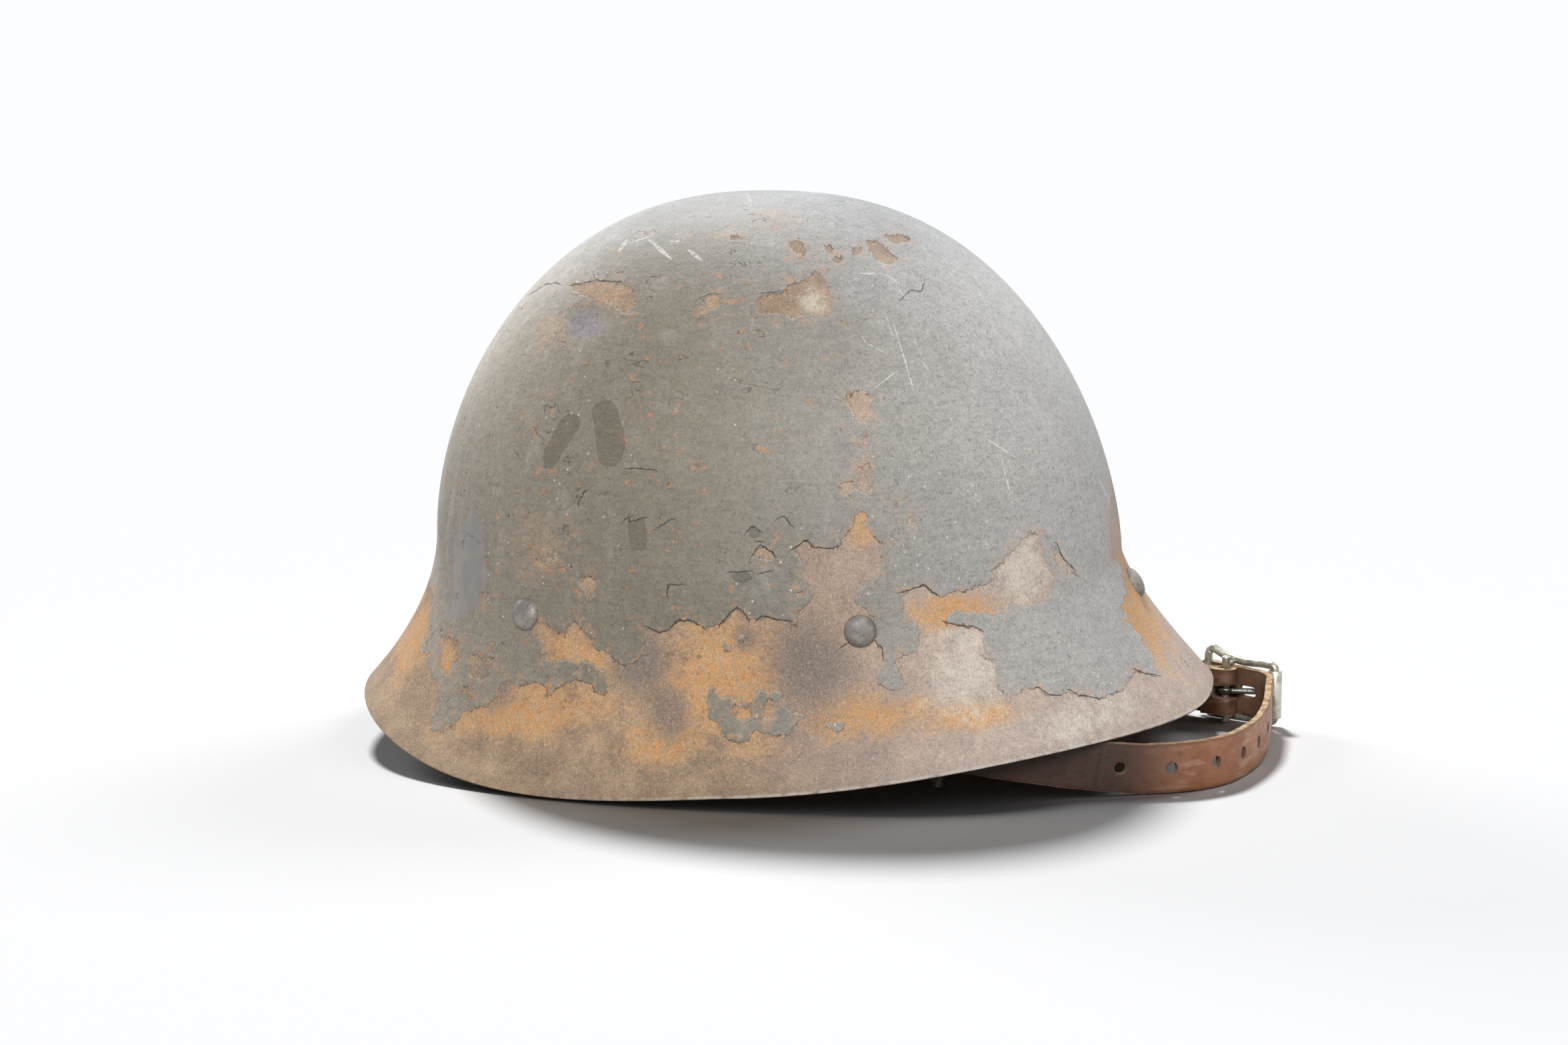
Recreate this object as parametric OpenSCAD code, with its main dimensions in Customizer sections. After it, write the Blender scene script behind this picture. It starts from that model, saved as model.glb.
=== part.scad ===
// A bell-shaped steel helmet with its leather chin strap buckled behind it.
// Millimetres, +Z up. X runs from the visor (-X) to the neck guard (+X), Y from side to side.
// The origin is the middle of the head opening, on the plane that the helmet stands on.

/* [Shell] */
// Centre to the tip of the visor
visor_len = 143; // [130:1:155]
// Centre to the tip of the neck guard
neck_len = 149.5; // [146:0.5:152]
// Centre to the widest point of the rim
rim_half_w = 117; // [112:0.5:126]
// Height of the crown above the table
crown_h = 187.5; // [170:0.5:200]
// Thickness of the steel sheet
sheet_t = 1.2; // [0.9:0.05:1.6]

/* [Waist, where the dome meets the skirt] */
// Centre to the front of the waist
waist_front = 117.5; // [110:0.5:124]
// Centre to the back of the waist
waist_rear = 117; // [110:0.5:124]
// Half the width of the waist
waist_half_w = 102; // [98:0.5:108]
// Height of the waist at the front
waist_front_z = 73; // [68:0.5:80]
// Height of the waist at the sides
waist_side_z = 63; // [60:0.5:70]
// Height of the waist at the back
waist_rear_z = 66; // [62:0.5:72]

/* [Rim] */
// Height of the rim at the visor tip
rim_front_z = 18.3; // [10:0.1:22]
// Height of the rim at the neck guard tip
rim_rear_z = 19.9; // [19.9:0.1:22]
// Height of the rim at the ears
rim_side_z = 3.1; // [3.1:0.05:6]
// How far the rim dips in front of the ears
rim_dip = 5; // [3:0.1:5]

/* [Rivets] */
// Diameter of the domed rivet heads
head_d = 10.6; // [8:0.1:12]
// Height of the domed rivet heads
head_h = 2.8; // [2:0.1:4]
// Diameter of the rivet shanks
shank_d = 4; // [3:0.1:5]
// Height of the rivets above the table
rivet_z = 56; // [52:0.5:60]
// Angle of the side rivets from the back
side_at = 72; // [66:1:78]
// Angle of the front rivets from the back
front_at = 126; // [115:1:135]

/* [Liner] */
// Thickness of the steel liner band
band_t = 0.8; // [0.6:0.1:1]
// Height of the liner band
band_h = 15; // [12:0.5:18]
// Thickness of the liner leather
hide_t = 1.8; // [1.4:0.1:2.2]
// Drop of the sweatband below the rivets
sweat_drop = 16; // [10:1:20]
// Outer radius of the leather ring that holds the tongue tips
crown_ring_r = 26; // [23:0.5:30]
// Inner radius of that ring
crown_hole_r = 12; // [8:0.5:14]

/* [Strap hangers] */
// Height of the hinge pins of the hangers
hinge_z = 22.6; // [21:0.2:25]
// Diameter of the hinge pins
hinge_d = 3.2; // [2.6:0.1:4]
// Width of the steel tab that holds a hinge pin
tab_w = 14; // [12:0.5:18]
// Thickness of the steel tab
tab_t = 1.5; // [1.2:0.1:2]
// Wire of the hangers
hanger_wire_d = 3; // [2.4:0.1:3.4]
// Hinge pin to the bar that the strap is folded round
hanger_len = 27; // [24:0.5:30]

/* [Strap] */
// Width of the chin strap
strap_w = 16.6; // [15:0.1:16.8]
// Thickness of the strap leather
strap_t = 2.2; // [1.8:0.1:2.4]
// Diameter of the punched holes
hole_d = 3.8; // [3:0.1:4.5]
// Distance between the punched holes
hole_step = 17.4; // [17:0.1:18]
// Diameter of the small studs that close the folds
stud_d = 5; // [4:0.1:6]

/* [Buckle] */
// Roller to the far bar of the frame
buckle_len = 27; // [26:0.5:29]
// Roller to the middle pin
pin_at = 17; // [16:0.5:18]
// Diameter of the frame wire
buckle_wire_d = 2.6; // [2:0.1:2.8]
// Diameter of the middle pin
pin_d = 2.8; // [2.4:0.1:3]
// Outer diameter of the roller
roller_d = 4.8; // [4.4:0.1:5]
// Thickness of the prong
prong_d = 2.2; // [1.8:0.1:2.4]

/* [Hidden] */
$fn = 48;
// Clearance of pieces that only lie against each other
gap = 0.3;
// Radial clearance of a pin that turns in its eye
run = 0.06;

// Shell surface. t is the angle from the back.
// q runs from 0 at the rim over 1 at the waist to 2 at the crown.
rim_round = 2.39;
waist_round = 2.15;
dome_plan = 2.35;
dome_side = 1.72;
flare_front = 1.9;
flare_side = 2;
flare_rear = 1.29;
crown_shift = -2.9;
shell_cols = 60;
skirt_rows = 9;
dome_rows = 14;

function power(v, e) = sign(v) * pow(abs(v), e);
// A value that is f at the front, s at the sides and r at the back
function blend(t, f, s, r) =
    s + ((f + r) / 2 - s) * pow(cos(t), 2) + (r - f) / 2 * cos(t) * abs(cos(t));
function oval(t, f, r, w, n) =
    [(cos(t) > 0 ? r : f) * power(cos(t), 2 / n), w * power(sin(t), 2 / n)];
function rim_z(t) =
    blend(t, rim_front_z - rim_dip, rim_side_z, rim_rear_z + rim_dip) - rim_dip * cos(3 * t);
function waist_z(t) = blend(t, waist_front_z, waist_side_z, waist_rear_z);
function rim_xy(t) = oval(t, visor_len, neck_len, rim_half_w, rim_round);
function waist_xy(t) = oval(t, waist_front, waist_rear, waist_half_w, waist_round);
function skirt_point(t, w) =
    let (a = waist_xy(t), b = rim_xy(t), s = pow(w, blend(t, flare_front, flare_side, flare_rear)))
    [a.x + (b.x - a.x) * s, a.y + (b.y - a.y) * s, waist_z(t) + (rim_z(t) - waist_z(t)) * w];
function dome_point(t, e) =
    let (a = waist_xy(t), s = pow(cos(e), 2 / dome_plan), k = pow(sin(e), 2 / dome_side))
    [a.x * s + crown_shift * k, a.y * s, waist_z(t) + (crown_h - waist_z(t)) * k];
function outer(t, q) = q < 1 ? skirt_point(t, 1 - q) : dome_point(t, min(q - 1, 1) * 90);
function unit(v) = v / norm(v);
function normal(t, q) =
    q > 1.98 ? [0, 0, 1] :
    let (u = outer(t + 0.5, q) - outer(t - 0.5, q),
        v = outer(t, min(q + 0.01, 2)) - outer(t, max(q - 0.01, 0)))
    unit(cross(u, v));
// A point at a depth under the outer surface. At the rim the cut edge is level.
function under(t, q, depth) =
    let (n = normal(t, q), p = outer(t, q))
    q > 0 ? p - depth * n : p - depth * [n.x, n.y, 0] / (n.x * n.x + n.y * n.y);
function q_at(t, z) = z < waist_z(t) ? (z - rim_z(t)) / (waist_z(t) - rim_z(t))
    : 1 + asin(pow((z - waist_z(t)) / (crown_h - waist_z(t)), dome_side / 2)) / 90;

// Joins rows of points, each as long as the others, into a closed skin. Rows close on themselves.
module tube_of(rows) {
    n = len(rows[0]);
    m = len(rows);
    polyhedron(
        points = [for (r = rows) for (p = r) p],
        faces = [
            for (j = [0 : m - 1]) for (i = [0 : n - 1])
                let (k = (j + 1) % m, l = (i + 1) % n)
                each [[j * n + i, k * n + l, j * n + l], [j * n + i, k * n + i, k * n + l]]
        ]
    );
}

// The same with two flat ends.
module bar_of(rows) {
    n = len(rows[0]);
    m = len(rows);
    polyhedron(
        points = [for (r = rows) for (p = r) p],
        faces = concat(
            [for (j = [0 : m - 2]) for (i = [0 : n - 1])
                let (l = (i + 1) % n)
                each [[j * n + i, (j + 1) * n + l, j * n + l],
                    [j * n + i, (j + 1) * n + i, (j + 1) * n + l]]],
            [for (i = [1 : n - 2]) [0, i, i + 1]],
            [for (i = [1 : n - 2]) [(m - 1) * n, (m - 1) * n + i + 1, (m - 1) * n + i]]
        )
    );
}

// Places its children on the outer surface with +X along the outward normal.
module on_wall(t, z) {
    q = q_at(t, z);
    n = normal(t, q);
    translate(outer(t, q)) rotate([0, -asin(n.z), atan2(n.y, n.x)]) children();
}

module along_x(from, to, d) {
    translate([from, 0, 0]) rotate([0, 90, 0]) cylinder(d = d, h = to - from);
}

// Depths of the pieces that a rivet joins, counted inward from the outer surface
curve_room = 0.25;
tab_from = sheet_t + gap + curve_room;
band_from = tab_from + tab_t + gap + curve_room;
burr_from = band_from + band_t + gap;
burr_t = 0.8;
tail_from = burr_from + burr_t;
tail_h = 1.4;
tail_d = 6.4;
burr_d = 9;
hole_clear = 0.15;

skirt_q = [for (i = [0 : skirt_rows - 1]) i / skirt_rows];
dome_q = [for (i = [0 : dome_rows - 1]) 1 + i / dome_rows];
shell_q = concat(skirt_q, dome_q);

// The sheet runs up outside, over the crown and down inside.
module shell_skin() {
    turns = [for (i = [0 : shell_cols - 1]) i * 360 / shell_cols];
    rows = len(shell_q);
    top = rows * shell_cols;
    polyhedron(
        points = concat(
            [for (q = shell_q) for (t = turns) outer(t, q)],
            [[crown_shift, 0, crown_h]],
            [for (q = shell_q) for (t = turns) under(t, q, sheet_t)],
            [[crown_shift, 0, crown_h - sheet_t]]
        ),
        faces = [
            for (i = [0 : shell_cols - 1])
                let (l = (i + 1) % shell_cols, deep = top + 1)
                each concat(
                    [for (j = [0 : rows - 2])
                        let (a = j * shell_cols, b = a + shell_cols)
                        each [[a + i, b + l, a + l], [a + i, b + i, b + l],
                            [deep + a + i, deep + a + l, deep + b + l],
                            [deep + a + i, deep + b + l, deep + b + i]]],
                    [[top - shell_cols + i, top, top - shell_cols + l],
                        [deep + top - shell_cols + i, deep + top - shell_cols + l, deep + top],
                        [i, l, deep + l], [i, deep + l, deep + i]]
                )
        ]
    );
}

module shell() {
    color([0.45, 0.44, 0.40]) difference() {
        shell_skin();
        for (t = [0, side_at, -side_at, front_at, -front_at])
            on_wall(t, rivet_z) along_x(-sheet_t - 2, 2, shank_d + 2 * hole_clear);
    }
}

// A rivet: domed head outside, shank, and a peened tail inside.
module rivet(t) {
    cap_r = (head_d * head_d / 4 + head_h * head_h) / (2 * head_h);
    edge = asin(head_d / 2 / cap_r);
    steps = 8;
    dome = [for (i = [0 : steps])
        let (a = edge * (1 - i / steps)) [cap_r * sin(a), gap + head_h - cap_r * (1 - cos(a))]];
    tail_low = -tail_from - tail_h;
    tail_high = -tail_from - 0.1;
    shaft = [[0, tail_low], [tail_d / 2 - 0.8, tail_low], [tail_d / 2, tail_low + 0.6],
        [tail_d / 2, tail_high], [shank_d / 2, tail_high], [shank_d / 2, gap]];
    color([0.50, 0.48, 0.43]) on_wall(t, rivet_z) rotate([0, 90, 0]) rotate_extrude()
        polygon(concat(shaft, dome));
}

// A washer under the peened tail.
module burr(t) {
    color([0.62, 0.60, 0.55]) on_wall(t, rivet_z) difference() {
        along_x(-burr_from - burr_t, -burr_from, burr_d);
        along_x(-burr_from - burr_t - 1, -burr_from + 1, shank_d + 2 * hole_clear);
    }
}

// A ring that keeps the liner band off the shell where there is no strap tab.
module spacer(t) {
    color([0.55, 0.53, 0.50]) on_wall(t, rivet_z) difference() {
        along_x(-tab_from - tab_t, -tab_from, burr_d);
        along_x(-tab_from - tab_t - 1, -tab_from + 1, shank_d + 2 * hole_clear);
    }
}

// A strip that follows the inside of the shell between two heights and two depths.
strip_rows = 3;
function strip_face(t, low, high, depth) =
    [for (i = [0 : strip_rows - 1]) under(t, q_at(t, low + (high - low) * i / (strip_rows - 1)), depth)];
function back_to_front(list) = [for (i = [len(list) - 1 : -1 : 0]) list[i]];
function strip_section(t, low, high, from, to) =
    concat(strip_face(t, low, high, to), back_to_front(strip_face(t, low, high, from)));

module liner_band() {
    color([0.58, 0.57, 0.54]) difference() {
        tube_of([for (i = [0 : shell_cols - 1])
            strip_section(i * 360 / shell_cols, rivet_z - band_h / 2, rivet_z + band_h / 2,
                band_from + 0.1, band_from + band_t)]);
        for (t = [0, side_at, -side_at, front_at, -front_at])
            on_wall(t, rivet_z) along_x(-burr_from - 1, -band_from + 1, shank_d + 2 * hole_clear);
    }
}

// The sweatband hangs over the top edge of the liner band and falls inside it.
sweat_from = tail_from + tail_h + 2 * gap + 0.15;
sweat_top = rivet_z + band_h / 2 + gap;
sweat_low = rivet_z - sweat_drop;

function sweat_section(t) = concat(
    strip_face(t, sweat_low, sweat_top + hide_t, sweat_from + hide_t),
    [under(t, q_at(t, sweat_top + hide_t), band_from), under(t, q_at(t, sweat_top), band_from)],
    back_to_front(strip_face(t, sweat_low, sweat_top, sweat_from)));

module sweatband() {
    color([0.42, 0.26, 0.15])
        tube_of([for (i = [0 : shell_cols - 1]) sweat_section(i * 360 / shell_cols)]);
}

// A tongue rises from inside the sweatband and narrows to its tip under the crown ring.
// The tongues leave a space between themselves and the steel that grows towards the crown.
tongues = 8;
tongue_from = sweat_from + hide_t + gap;
tongue_rows = 8;
tongue_cols = 4;
tongue_low = rivet_z - 2;
tongue_share = 0.84;
tongue_tip_q = 1.93;
crown_space = 20;

function tongue_point(t, spread, v, depth) =
    let (low_q = q_at(t, tongue_low), half = 180 / tongues * tongue_share * (1 - 0.25 * pow(v, 3)))
    under(t + spread * half, low_q + (tongue_tip_q - low_q) * v,
        depth + (crown_space - tongue_from) * pow(v, 1.5));
function tongue_row(t, v) = concat(
    [for (i = [0 : tongue_cols]) tongue_point(t, -1 + 2 * i / tongue_cols, v, tongue_from)],
    [for (i = [tongue_cols : -1 : 0]) tongue_point(t, -1 + 2 * i / tongue_cols, v, tongue_from + hide_t)]);

module tongue(n) {
    t = (n - 0.5) * 360 / tongues;
    color([0.46, 0.29, 0.17])
        bar_of([for (j = [0 : tongue_rows]) tongue_row(t, j / tongue_rows)]);
}

// A flat leather ring lies on the tips of the tongues and holds them together.
module crown_ring() {
    tip_z = under(0, tongue_tip_q, crown_space).z;
    color([0.44, 0.28, 0.16]) translate([crown_shift, 0, tip_z + gap]) difference() {
        cylinder(r = crown_ring_r, h = hide_t);
        translate([0, 0, -1]) cylinder(r = crown_hole_r, h = hide_t + 2);
    }
}

// Strap tabs and hangers. side is 1 on the left of the wearer and -1 on the right.
wall_q = q_at(side_at, rivet_z);
wall_pt = outer(side_at, wall_q);
hinge_x = wall_pt.x;
tab_y = wall_pt.y - tab_from - 0.1;
tab_round = 4.6;
tab_neck = 12;
tab_over = 8;
tab_top = rivet_z - 8.5;
hanger_y = tab_y - tab_t - gap - hanger_wire_d / 2;

module tab(side) {
    color([0.52, 0.50, 0.46]) difference() {
        union() {
            translate([hinge_x, side * (tab_y - tab_t / 2), 0]) {
                rotate([90, 0, 0]) linear_extrude(height = tab_t, center = true) polygon([
                    [-tab_w / 2, tab_top], [tab_w / 2, tab_top], [tab_w / 2, hinge_z + tab_neck],
                    [tab_round, hinge_z], [-tab_round, hinge_z], [-tab_w / 2, hinge_z + tab_neck]]);
                translate([0, 0, hinge_z]) rotate([90, 0, 0])
                    cylinder(r = tab_round, h = tab_t, center = true);
            }
            on_wall(side * side_at, rivet_z)
                translate([-tab_from - tab_t, -tab_w / 2, tab_top - rivet_z - 1])
                    cube([tab_t, tab_w, rivet_z - tab_top + tab_over]);
        }
        on_wall(side * side_at, rivet_z) along_x(-tab_from - tab_t - 3, 2, shank_d + 2 * hole_clear);
        translate([hinge_x, side * tab_y, hinge_z]) rotate([90, 0, 0])
            cylinder(d = hinge_d + 2 * run, h = 4 * tab_t, center = true);
    }
}

// A headed pin through the tab and the eye of the hanger.
pin_head_t = 1.2;
pin_head_d = 6.4;
eye_len = hanger_wire_d;
eye_d = hinge_d + 4.4;

module hinge_pin(side) {
    wall_end = hanger_y - tab_y - gap;
    color([0.60, 0.58, 0.54]) translate([hinge_x, side * hanger_y, hinge_z]) rotate([side * 90, 0, 0]) {
        translate([0, 0, wall_end]) cylinder(d = hinge_d, h = eye_len / 2 + gap - wall_end);
        translate([0, 0, eye_len / 2 + gap]) cylinder(d = pin_head_d, h = pin_head_t);
        translate([0, 0, wall_end - pin_head_t]) cylinder(d = pin_head_d, h = pin_head_t);
    }
}

// A straight wire between two points.
module wire(a, b, d) {
    v = b - a;
    translate(a) rotate([0, acos(v.z / norm(v)), atan2(v.y, v.x)]) cylinder(d = d, h = norm(v));
}

// A wire frame's upright bars end just past its other wires, which are a little thinner.
thinner = 0.3;
bar_over = 0.05;

// The hangers rest at these angles below the level.
pitch_right = 8;
pitch_left = 6;
bar_half = strap_w / 2 + 4.6;

module hanger(side) {
    pitch = side > 0 ? pitch_left : pitch_right;
    color([0.56, 0.55, 0.51]) translate([hinge_x, side * hanger_y, hinge_z]) rotate([0, pitch, 0]) {
        difference() {
            union() {
                rotate([90, 0, 0]) cylinder(d = eye_d, h = eye_len, center = true);
                for (e = [-1, 1])
                    wire([eye_d / 2 - 1, 0, e], [hanger_len, 0, e * bar_half], hanger_wire_d - thinner);
            }
            rotate([90, 0, 0]) cylinder(d = hinge_d + 2 * run, h = eye_len + 1, center = true);
        }
        translate([hanger_len, 0, 0])
            cylinder(d = hanger_wire_d, h = 2 * bar_half + hanger_wire_d + 2 * bar_over, center = true);
    }
}

// Buckle frame of reference: u runs from the roller to the far bar, v points into the loop.
roller_x = 169;
roller_y = 34;
buckle_turn = 152.6;
u_dir = [cos(buckle_turn), sin(buckle_turn)];
v_dir = [-sin(buckle_turn), cos(buckle_turn)];
pin_v = 4.5;
far_bar_v = -1.2;
fold_clear = 0.25;
prong_eye_h = 3;
floor_gap = 0.1;
window_h = strap_w + 0.8;
rail_low = floor_gap + buckle_wire_d / 2;
rail_high = rail_low + window_h + buckle_wire_d;
buckle_mid = (rail_low + rail_high) / 2;

function buckle_xy(u, v) = [roller_x, roller_y] + u * u_dir + v * v_dir;
function at_height(p, z) = [p.x, p.y, z];

// Strap route, walked from a start along stretches of a length and a turn in degrees.
function step(p, h, s, bend) =
    abs(bend) < 0.01 ? p + s * [cos(h), sin(h)] :
    let (r = s * 180 / (PI * bend)) p + r * [sin(h + bend) - sin(h), cos(h) - cos(h + bend)];
function walk(runs, s, p, h, i = 0) =
    let (part = min(s, runs[i][0]), bend = runs[i][1] * part / runs[i][0], q = step(p, h, part, bend))
    s <= runs[i][0] || i == len(runs) - 1 ? [q, h + bend] : walk(runs, s - runs[i][0], q, h + bend, i + 1);
function total(runs, i = 0) = i == len(runs) ? 0 : runs[i][0] + total(runs, i + 1);

// One cross-section of the strap: width upright across the slope, thickness square to the route.
function ribbon_row(p, h, slope, z, w, t) =
    let (side = [-sin(h), cos(h), 0] * t / 2,
        up = [-cos(h) * sin(slope), -sin(h) * sin(slope), cos(slope)] * w / 2,
        c = [p.x, p.y, z])
    [c - up - side, c - up + side, c + up + side, c + up - side];

// Long strap, walked back from its free tail through the buckle and round the loop,
// then straight to the fold on the right hanger.
hanger_fold = hanger_wire_d / 2 + fold_clear + strap_t / 2;
right_bar = [hinge_x + hanger_len * cos(pitch_right), -hanger_y];
right_bar_z = hinge_z - hanger_len * sin(pitch_right);
tail_len = 30;
tail_turn = buckle_turn - 15;
loop_runs = [[tail_len, 0], [12.5, -47.6], [24.9, 0], [50.3, -20], [35.2, -53]];
tail_end = buckle_xy(6.5, 1.5) + tail_len * [cos(tail_turn), sin(tail_turn)];
loop_len = total(loop_runs);
loop_end = walk(loop_runs, loop_len, tail_end, tail_turn + 180)[0];
near_way = loop_end - right_bar;
near_turn = atan2(near_way.y, near_way.x) + asin(hanger_fold / norm(near_way));
long_goal = right_bar + hanger_fold * [sin(near_turn), -cos(near_turn)];
long_len = loop_len + norm(long_goal - loop_end);
table_z = strap_w / 2;
lift_from = 50;
lift_to = 100;
land_at = 157;
long_steps = 76;

function ease(k) = let (c = max(0, min(1, k))) c * c * (3 - 2 * c);
function long_xy(s) = s < loop_len ? walk(loop_runs, s, tail_end, tail_turn + 180)
    : [loop_end + (long_goal - loop_end) * (s - loop_len) / (long_len - loop_len),
        atan2(long_goal.y - loop_end.y, long_goal.x - loop_end.x)];
function long_z(s) = s < land_at
    ? buckle_mid + (table_z - buckle_mid) * ease((s - lift_from) / (lift_to - lift_from))
    : table_z + (right_bar_z - table_z) * pow((s - land_at) / (long_len - land_at), 1.3);
function slope_at(s) =
    let (a = max(s - 1, 0), b = min(s + 1, long_len)) atan2(long_z(b) - long_z(a), b - a);
function long_row(s) =
    let (w = long_xy(s)) ribbon_row(w[0], w[1], slope_at(s), long_z(s), strap_w, strap_t);

// Places a cutter across the long strap at a distance from its tail.
module through_long(s) {
    w = long_xy(s);
    translate([w[0].x, w[0].y, long_z(s)]) rotate([0, 0, w[1]]) rotate([90, 0, 0]) children();
}

first_hole = 9.1;
holes = 10;
prong_slot = 8.4;

// Leather that turns round a bar along Z and doubles back over itself towards +X.
// The main strand leaves on the -Y side, the short end on the +Y side.
module fold_round(bar_d, main, back) {
    r = bar_d / 2 + fold_clear;
    difference() {
        union() {
            cylinder(r = r + strap_t, h = strap_w, center = true);
            translate([0, -r - strap_t, -strap_w / 2]) cube([main, strap_t, strap_w]);
            translate([0, r, -strap_w / 2]) cube([back, strap_t, strap_w]);
        }
        cylinder(r = r, h = strap_w + 1, center = true);
        translate([0, -r, -strap_w / 2 - 1]) cube([r + strap_t + 1, 2 * r, strap_w + 2]);
    }
}

// Frames of the two hanger bars, with +X along the strand that leaves each of them.
module at_right_bar() {
    translate([right_bar.x, right_bar.y, right_bar_z]) rotate([0, pitch_right, 0])
        rotate([0, 0, near_turn]) children();
}

module at_left_bar() {
    translate([left_bar.x, left_bar.y, left_bar_z]) rotate([0, pitch_left, 0])
        mirror([0, 1, 0]) rotate([0, 0, 180 - short_turn]) children();
}

module at_pin() {
    p = buckle_xy(pin_at, pin_v);
    translate([p.x, p.y, buckle_mid]) rotate([0, 0, buckle_turn]) children();
}

// A fold's stud joins both layers: shank and two flat heads.
fold_back = 18;
fold_stub = 7;
stud_at = 11;
pin_fold_back = 8;
pin_stud_at = 5.2;
stud_shank_d = 2.4;
stud_head_t = 1;

module stud_hole(bar_d, at) {
    translate([at, 0, 0]) rotate([90, 0, 0])
        cylinder(d = stud_shank_d + 2 * hole_clear, h = bar_d + 4 * strap_t + 4, center = true);
}

module stud(bar_d, at) {
    reach = bar_d / 2 + fold_clear + strap_t + gap;
    color([0.62, 0.58, 0.48]) translate([at, 0, 0]) rotate([90, 0, 0]) {
        cylinder(d = stud_shank_d, h = 2 * reach + stud_head_t, center = true);
        for (e = [-1, 1])
            translate([0, 0, e * (reach + stud_head_t / 2)])
                cylinder(d = stud_d, h = stud_head_t, center = true);
    }
}

module strap_long() {
    color([0.40, 0.21, 0.13]) difference() {
        union() {
            bar_of([for (i = [0 : long_steps]) long_row((long_len - fold_stub / 2) * i / long_steps)]);
            at_right_bar() fold_round(hanger_wire_d, fold_stub, fold_back);
        }
        for (i = [0 : holes - 1])
            through_long(first_hole + i * hole_step) cylinder(d = hole_d, h = 12, center = true);
        through_long(first_hole + hole_step) {
            cube([prong_slot - hole_d, hole_d, 12], center = true);
            for (e = [-1, 1])
                translate([e * (prong_slot - hole_d) / 2, 0, 0])
                    cylinder(d = hole_d, h = 12, center = true);
        }
        at_right_bar() stud_hole(hanger_wire_d, stud_at);
    }
}

// Short strap: from the fold on the buckle's middle pin, under the rim, to the left hanger.
pin_fold = pin_d / 2 + fold_clear + strap_t / 2;
left_bar = [hinge_x + hanger_len * cos(pitch_left), hanger_y];
left_bar_z = hinge_z - hanger_len * sin(pitch_left);
short_start = buckle_xy(pin_at, pin_v - pin_fold);
short_knee = buckle_xy(pin_at + 6, pin_v - pin_fold);
short_way = left_bar - short_knee;
short_turn = atan2(short_way.y, short_way.x) - asin(hanger_fold / norm(short_way));
short_goal = left_bar + hanger_fold * [sin(short_turn), -cos(short_turn)];
short_len = 6 + norm(short_goal - short_knee);
dip_slope = 0.12;
dip_len = 30;
short_steps = 30;

function short_xy(s) = s < 6 ? [short_start + s * u_dir, buckle_turn]
    : [short_knee + (short_goal - short_knee) * (s - 6) / (short_len - 6),
        atan2(short_goal.y - short_knee.y, short_goal.x - short_knee.x)];
dip_end_slope = (left_bar_z - buckle_mid + dip_slope * dip_len / 2) / (short_len - dip_len / 2);
dip_end_z = buckle_mid + (dip_end_slope - dip_slope) * dip_len / 2;
function short_z(s) = s < dip_len
    ? buckle_mid - dip_slope * s + (dip_end_slope + dip_slope) * s * s / (2 * dip_len)
    : dip_end_z + dip_end_slope * (s - dip_len);
function short_row(s) =
    let (w = short_xy(s), a = max(s - 1, 0), b = min(s + 1, short_len))
    ribbon_row(w[0], w[1], atan2(short_z(b) - short_z(a), b - a), short_z(s), strap_w, strap_t);

module strap_short() {
    color([0.36, 0.20, 0.13]) difference() {
        union() {
            bar_of([for (i = [0 : short_steps])
                short_row(1 + (short_len - 1 - fold_stub / 2) * i / short_steps)]);
            at_pin() fold_round(pin_d, 3, pin_fold_back);
            at_left_bar() fold_round(hanger_wire_d, fold_stub, fold_back);
        }
        at_pin() {
            translate([-6, -6, -prong_eye_h / 2 - gap])
                cube([6 + pin_d / 2 + 1.8, 12, prong_eye_h + 2 * gap]);
            stud_hole(pin_d, pin_stud_at);
        }
        at_left_bar() stud_hole(hanger_wire_d, stud_at);
    }
}

// Buckle frame: two rails, the roller's bar, the far bar, and eyes that hold the middle pin.
eye_wall = 1.5;
bar_end = buckle_wire_d / 2 + bar_over;

module buckle_frame() {
    near = buckle_xy(0, 0);
    far = buckle_xy(buckle_len, far_bar_v);
    color([0.56, 0.56, 0.50]) difference() {
        union() {
            for (z = [rail_low, rail_high]) {
                wire(at_height(near, z), at_height(far, z), buckle_wire_d - thinner);
                translate([0, 0, z - buckle_mid]) at_pin() {
                    cylinder(d = pin_d + 2 * eye_wall, h = buckle_wire_d, center = true);
                    translate([-pin_d / 2 - 0.5, -pin_v + far_bar_v / 2, -buckle_wire_d / 2 + 0.1])
                        cube([pin_d + 1, pin_v - far_bar_v / 2, buckle_wire_d - 0.2]);
                }
            }
            for (p = [near, far])
                translate(at_height(p, rail_low - bar_end))
                    cylinder(d = buckle_wire_d, h = rail_high - rail_low + 2 * bar_end);
        }
        at_pin() cylinder(d = pin_d + 2 * run, h = 2 * window_h, center = true);
    }
}

module buckle_pin() {
    color([0.60, 0.60, 0.55]) at_pin()
        translate([0, 0, rail_low - buckle_wire_d / 2 - buckle_mid])
            cylinder(d = pin_d, h = rail_high - rail_low + buckle_wire_d + 1.2);
}

module buckle_roller() {
    color([0.62, 0.62, 0.56]) translate(at_height(buckle_xy(0, 0), buckle_mid)) difference() {
        cylinder(d = roller_d, h = window_h - 2 * gap, center = true);
        cylinder(d = buckle_wire_d + 2 * run, h = window_h, center = true);
    }
}

// The prong turns on the middle pin, pierces the long strap and rests outside the roller.
prong_turn = 27.1;
prong_len = 21.4;

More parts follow.
